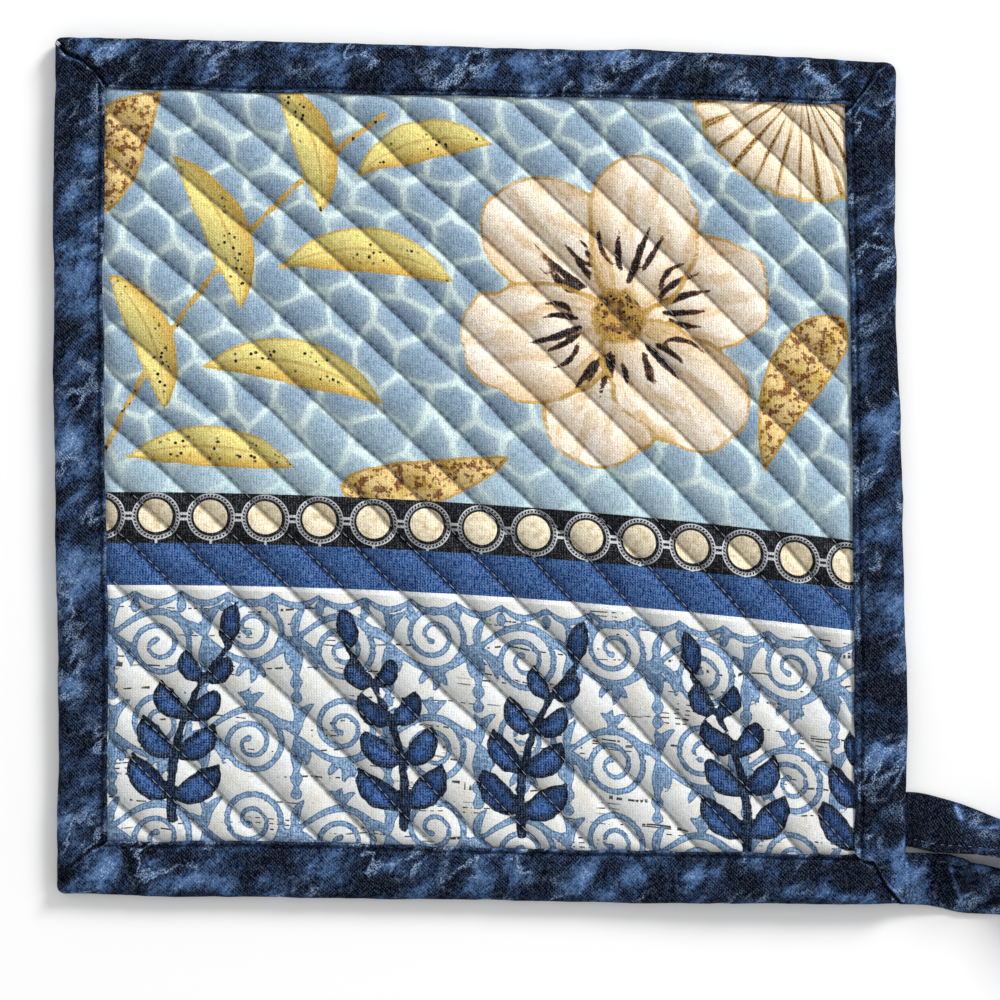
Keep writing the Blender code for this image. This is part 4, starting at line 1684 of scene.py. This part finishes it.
def hem_stitches():
    """The row that holds the binding's inner edge, on both faces."""
    stitches = []
    for side in range(4):
        distance = BINDING_WIDTH - HEM_INSET[side]
        middles = np.arange(STITCH / 2, ROUND_WAY - STITCH / 2, STITCH)
        middles = middles[side_of(middles) == side]
        near_mitre = np.min([np.abs(way_between(middles, mitre)) for mitre in MITRES], axis=0)
        way = middles[near_mitre > MITRE_CLEAR][:, None] + STITCH_PLACES
        x, y = (np.interp(way, WAY[:-1], part) for part in ring_at(distance).T)
        relief = binding_relief(way, np.full(way.shape, distance), x, y)
        for height, out in ((EDGE_THICKNESS + relief + STITCH_LIFTS, UP), (0.1 - STITCH_LIFTS, -UP)):
            rows = np.stack((x, y, raised(x, y, height)), axis=2)
            stitches += [(row, out) for row in rows]
    return stitches


def loose_end():
    """The end of a pale thread, caught in the top left corner."""
    start = np.array((-107.9, 109.8, EDGE_THICKNESS - 0.5))
    rows = start + np.outer(np.linspace(0, 1, len(STITCH_RINGS)), (1.2, -1.1, 0.6))
    beside = np.array((0.26, 0.22, 0.06))
    return [(rows - beside, UP), (rows, UP), (rows + beside, UP)]


def loop_stitches(strip):
    """One row along the strip's sewn edge."""
    stitches = []
    width = np.array(STRIP_WIDTH - LOOP_STITCH)
    stations = np.arange(len(strip.way))
    for middle in np.arange(3.5, strip.way[-1] - 16.0, STITCH):
        rows = []
        for place, lift in zip(STITCH_PLACES, STITCH_LIFTS):
            station = int(round(np.interp(middle + place, strip.way, stations)))
            depth = STRIP_THICKNESS + strip.relief(strip.way[station], width) + lift
            rows.append(strip.place(station, width, depth))
        stitches.append((np.array(rows), strip.out[station]))
    return stitches


# ---- the whole object ----

def build_pad(front_material, back_material):
    """The two faces of the pad, each a puffed cloth closed at the pad's middle."""
    mesh = close_sheet(quilt_grid(FRONT_CUTS, FRONT_STEP), "pad_front", top_height, MIDDLE)
    add_print(mesh)
    front = link_mesh("pad_front", mesh, front_material)
    mesh = close_sheet(quilt_grid(BACK_CUTS, BACK_STEP), "pad_back", under_height, MIDDLE - 0.02)
    add_vectors(mesh, "print", mesh_points(mesh))
    back = link_mesh("pad_back", mesh, back_material)
    for piece in (front, back):
        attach(piece, BODY)
        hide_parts("quilted_pad")


def build_stage():
    """A plain pale floor under the object."""
    half = 6.0
    corners = [(-half, -half, 0), (half, -half, 0), (half, half, 0), (-half, half, 0)]
    mesh = bpy.data.meshes.new("floor")
    mesh.from_pydata(corners, [], [(0, 1, 2, 3)])
    material, _, shader = new_material("pale_floor", roughness=0.95, sheen=0.0)
    shader.inputs["Base Color"].default_value = (0.93, 0.93, 0.93, 1.0)
    mesh.materials.append(material)
    floor = bpy.data.objects.new("floor", mesh)
    floor.location.z = -0.0002
    bpy.context.scene.collection.objects.link(floor)
    floor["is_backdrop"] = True


KEY_PLACE = Vector((1.99, 2.11, 1.575))
KEY_SIZE = 1.0
KEY_POWER = 98.0
FILL = 0.69
VIEW_X = 5.48
VIEW_Y = -7.14
VIEW_HEIGHT = 800.0
VIEW_WIDTH = 255.0
VIEW_LEVEL = 4.0


def build_light():
    world = bpy.data.worlds.new("studio")
    world.use_nodes = True
    background = world.node_tree.nodes["Background"]
    background.inputs["Color"].default_value = (1.0, 1.0, 1.0, 1.0)
    background.inputs["Strength"].default_value = FILL
    bpy.context.scene.world = world
    light = bpy.data.lights.new("key", "AREA")
    light.energy = KEY_POWER
    light.size = KEY_SIZE
    key = bpy.data.objects.new("key", light)
    key.location = KEY_PLACE
    key.rotation_euler = (-KEY_PLACE).to_track_quat("-Z", "Y").to_euler()
    bpy.context.scene.collection.objects.link(key)


def build_camera():
    lens = bpy.data.cameras.new("camera")
    lens.lens = lens.sensor_width * VIEW_HEIGHT / VIEW_WIDTH
    camera = bpy.data.objects.new("camera", lens)
    camera.location = (VIEW_X * MM, VIEW_Y * MM, (VIEW_HEIGHT + VIEW_LEVEL) * MM)
    bpy.context.scene.collection.objects.link(camera)
    bpy.context.scene.camera = camera


def main():
    bpy.context.scene.view_settings.view_transform = "Standard"
    build_stage()
    build_light()
    build_camera()
    marbled = marbled_cotton()
    pale_thread = thread("pale_thread", srgb(216, 225, 236))
    blue_thread = thread("blue_thread", srgb(48, 64, 98))
    grey_thread = thread("grey_thread", srgb(112, 126, 152))
    build_pad(printed_cotton(), backing_cotton())
    build_binding(marbled)
    strip = build_loop(marbled)
    for name, stitches, material, slot in (
        ("quilting_front", quilting_stitches(top_height, 1, UPPER_LIFT), pale_thread, "pad_print"),
        ("loose_end", loose_end(), pale_thread, "binding_cloth"),
        ("quilting_back", quilting_stitches(under_height, -1, UNDER_LIFT), pale_thread, "pad_print"),
        ("hem_sewing", hem_stitches(), blue_thread, "binding_cloth"),
        ("loop_sewing", loop_stitches(strip), grey_thread, "loop_cloth"),
    ):
        stitch_mesh(name, stitches, material, slot)


main()

new_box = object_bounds()
[[list(corner) for corner in box] for box in (cad_box, new_box)]
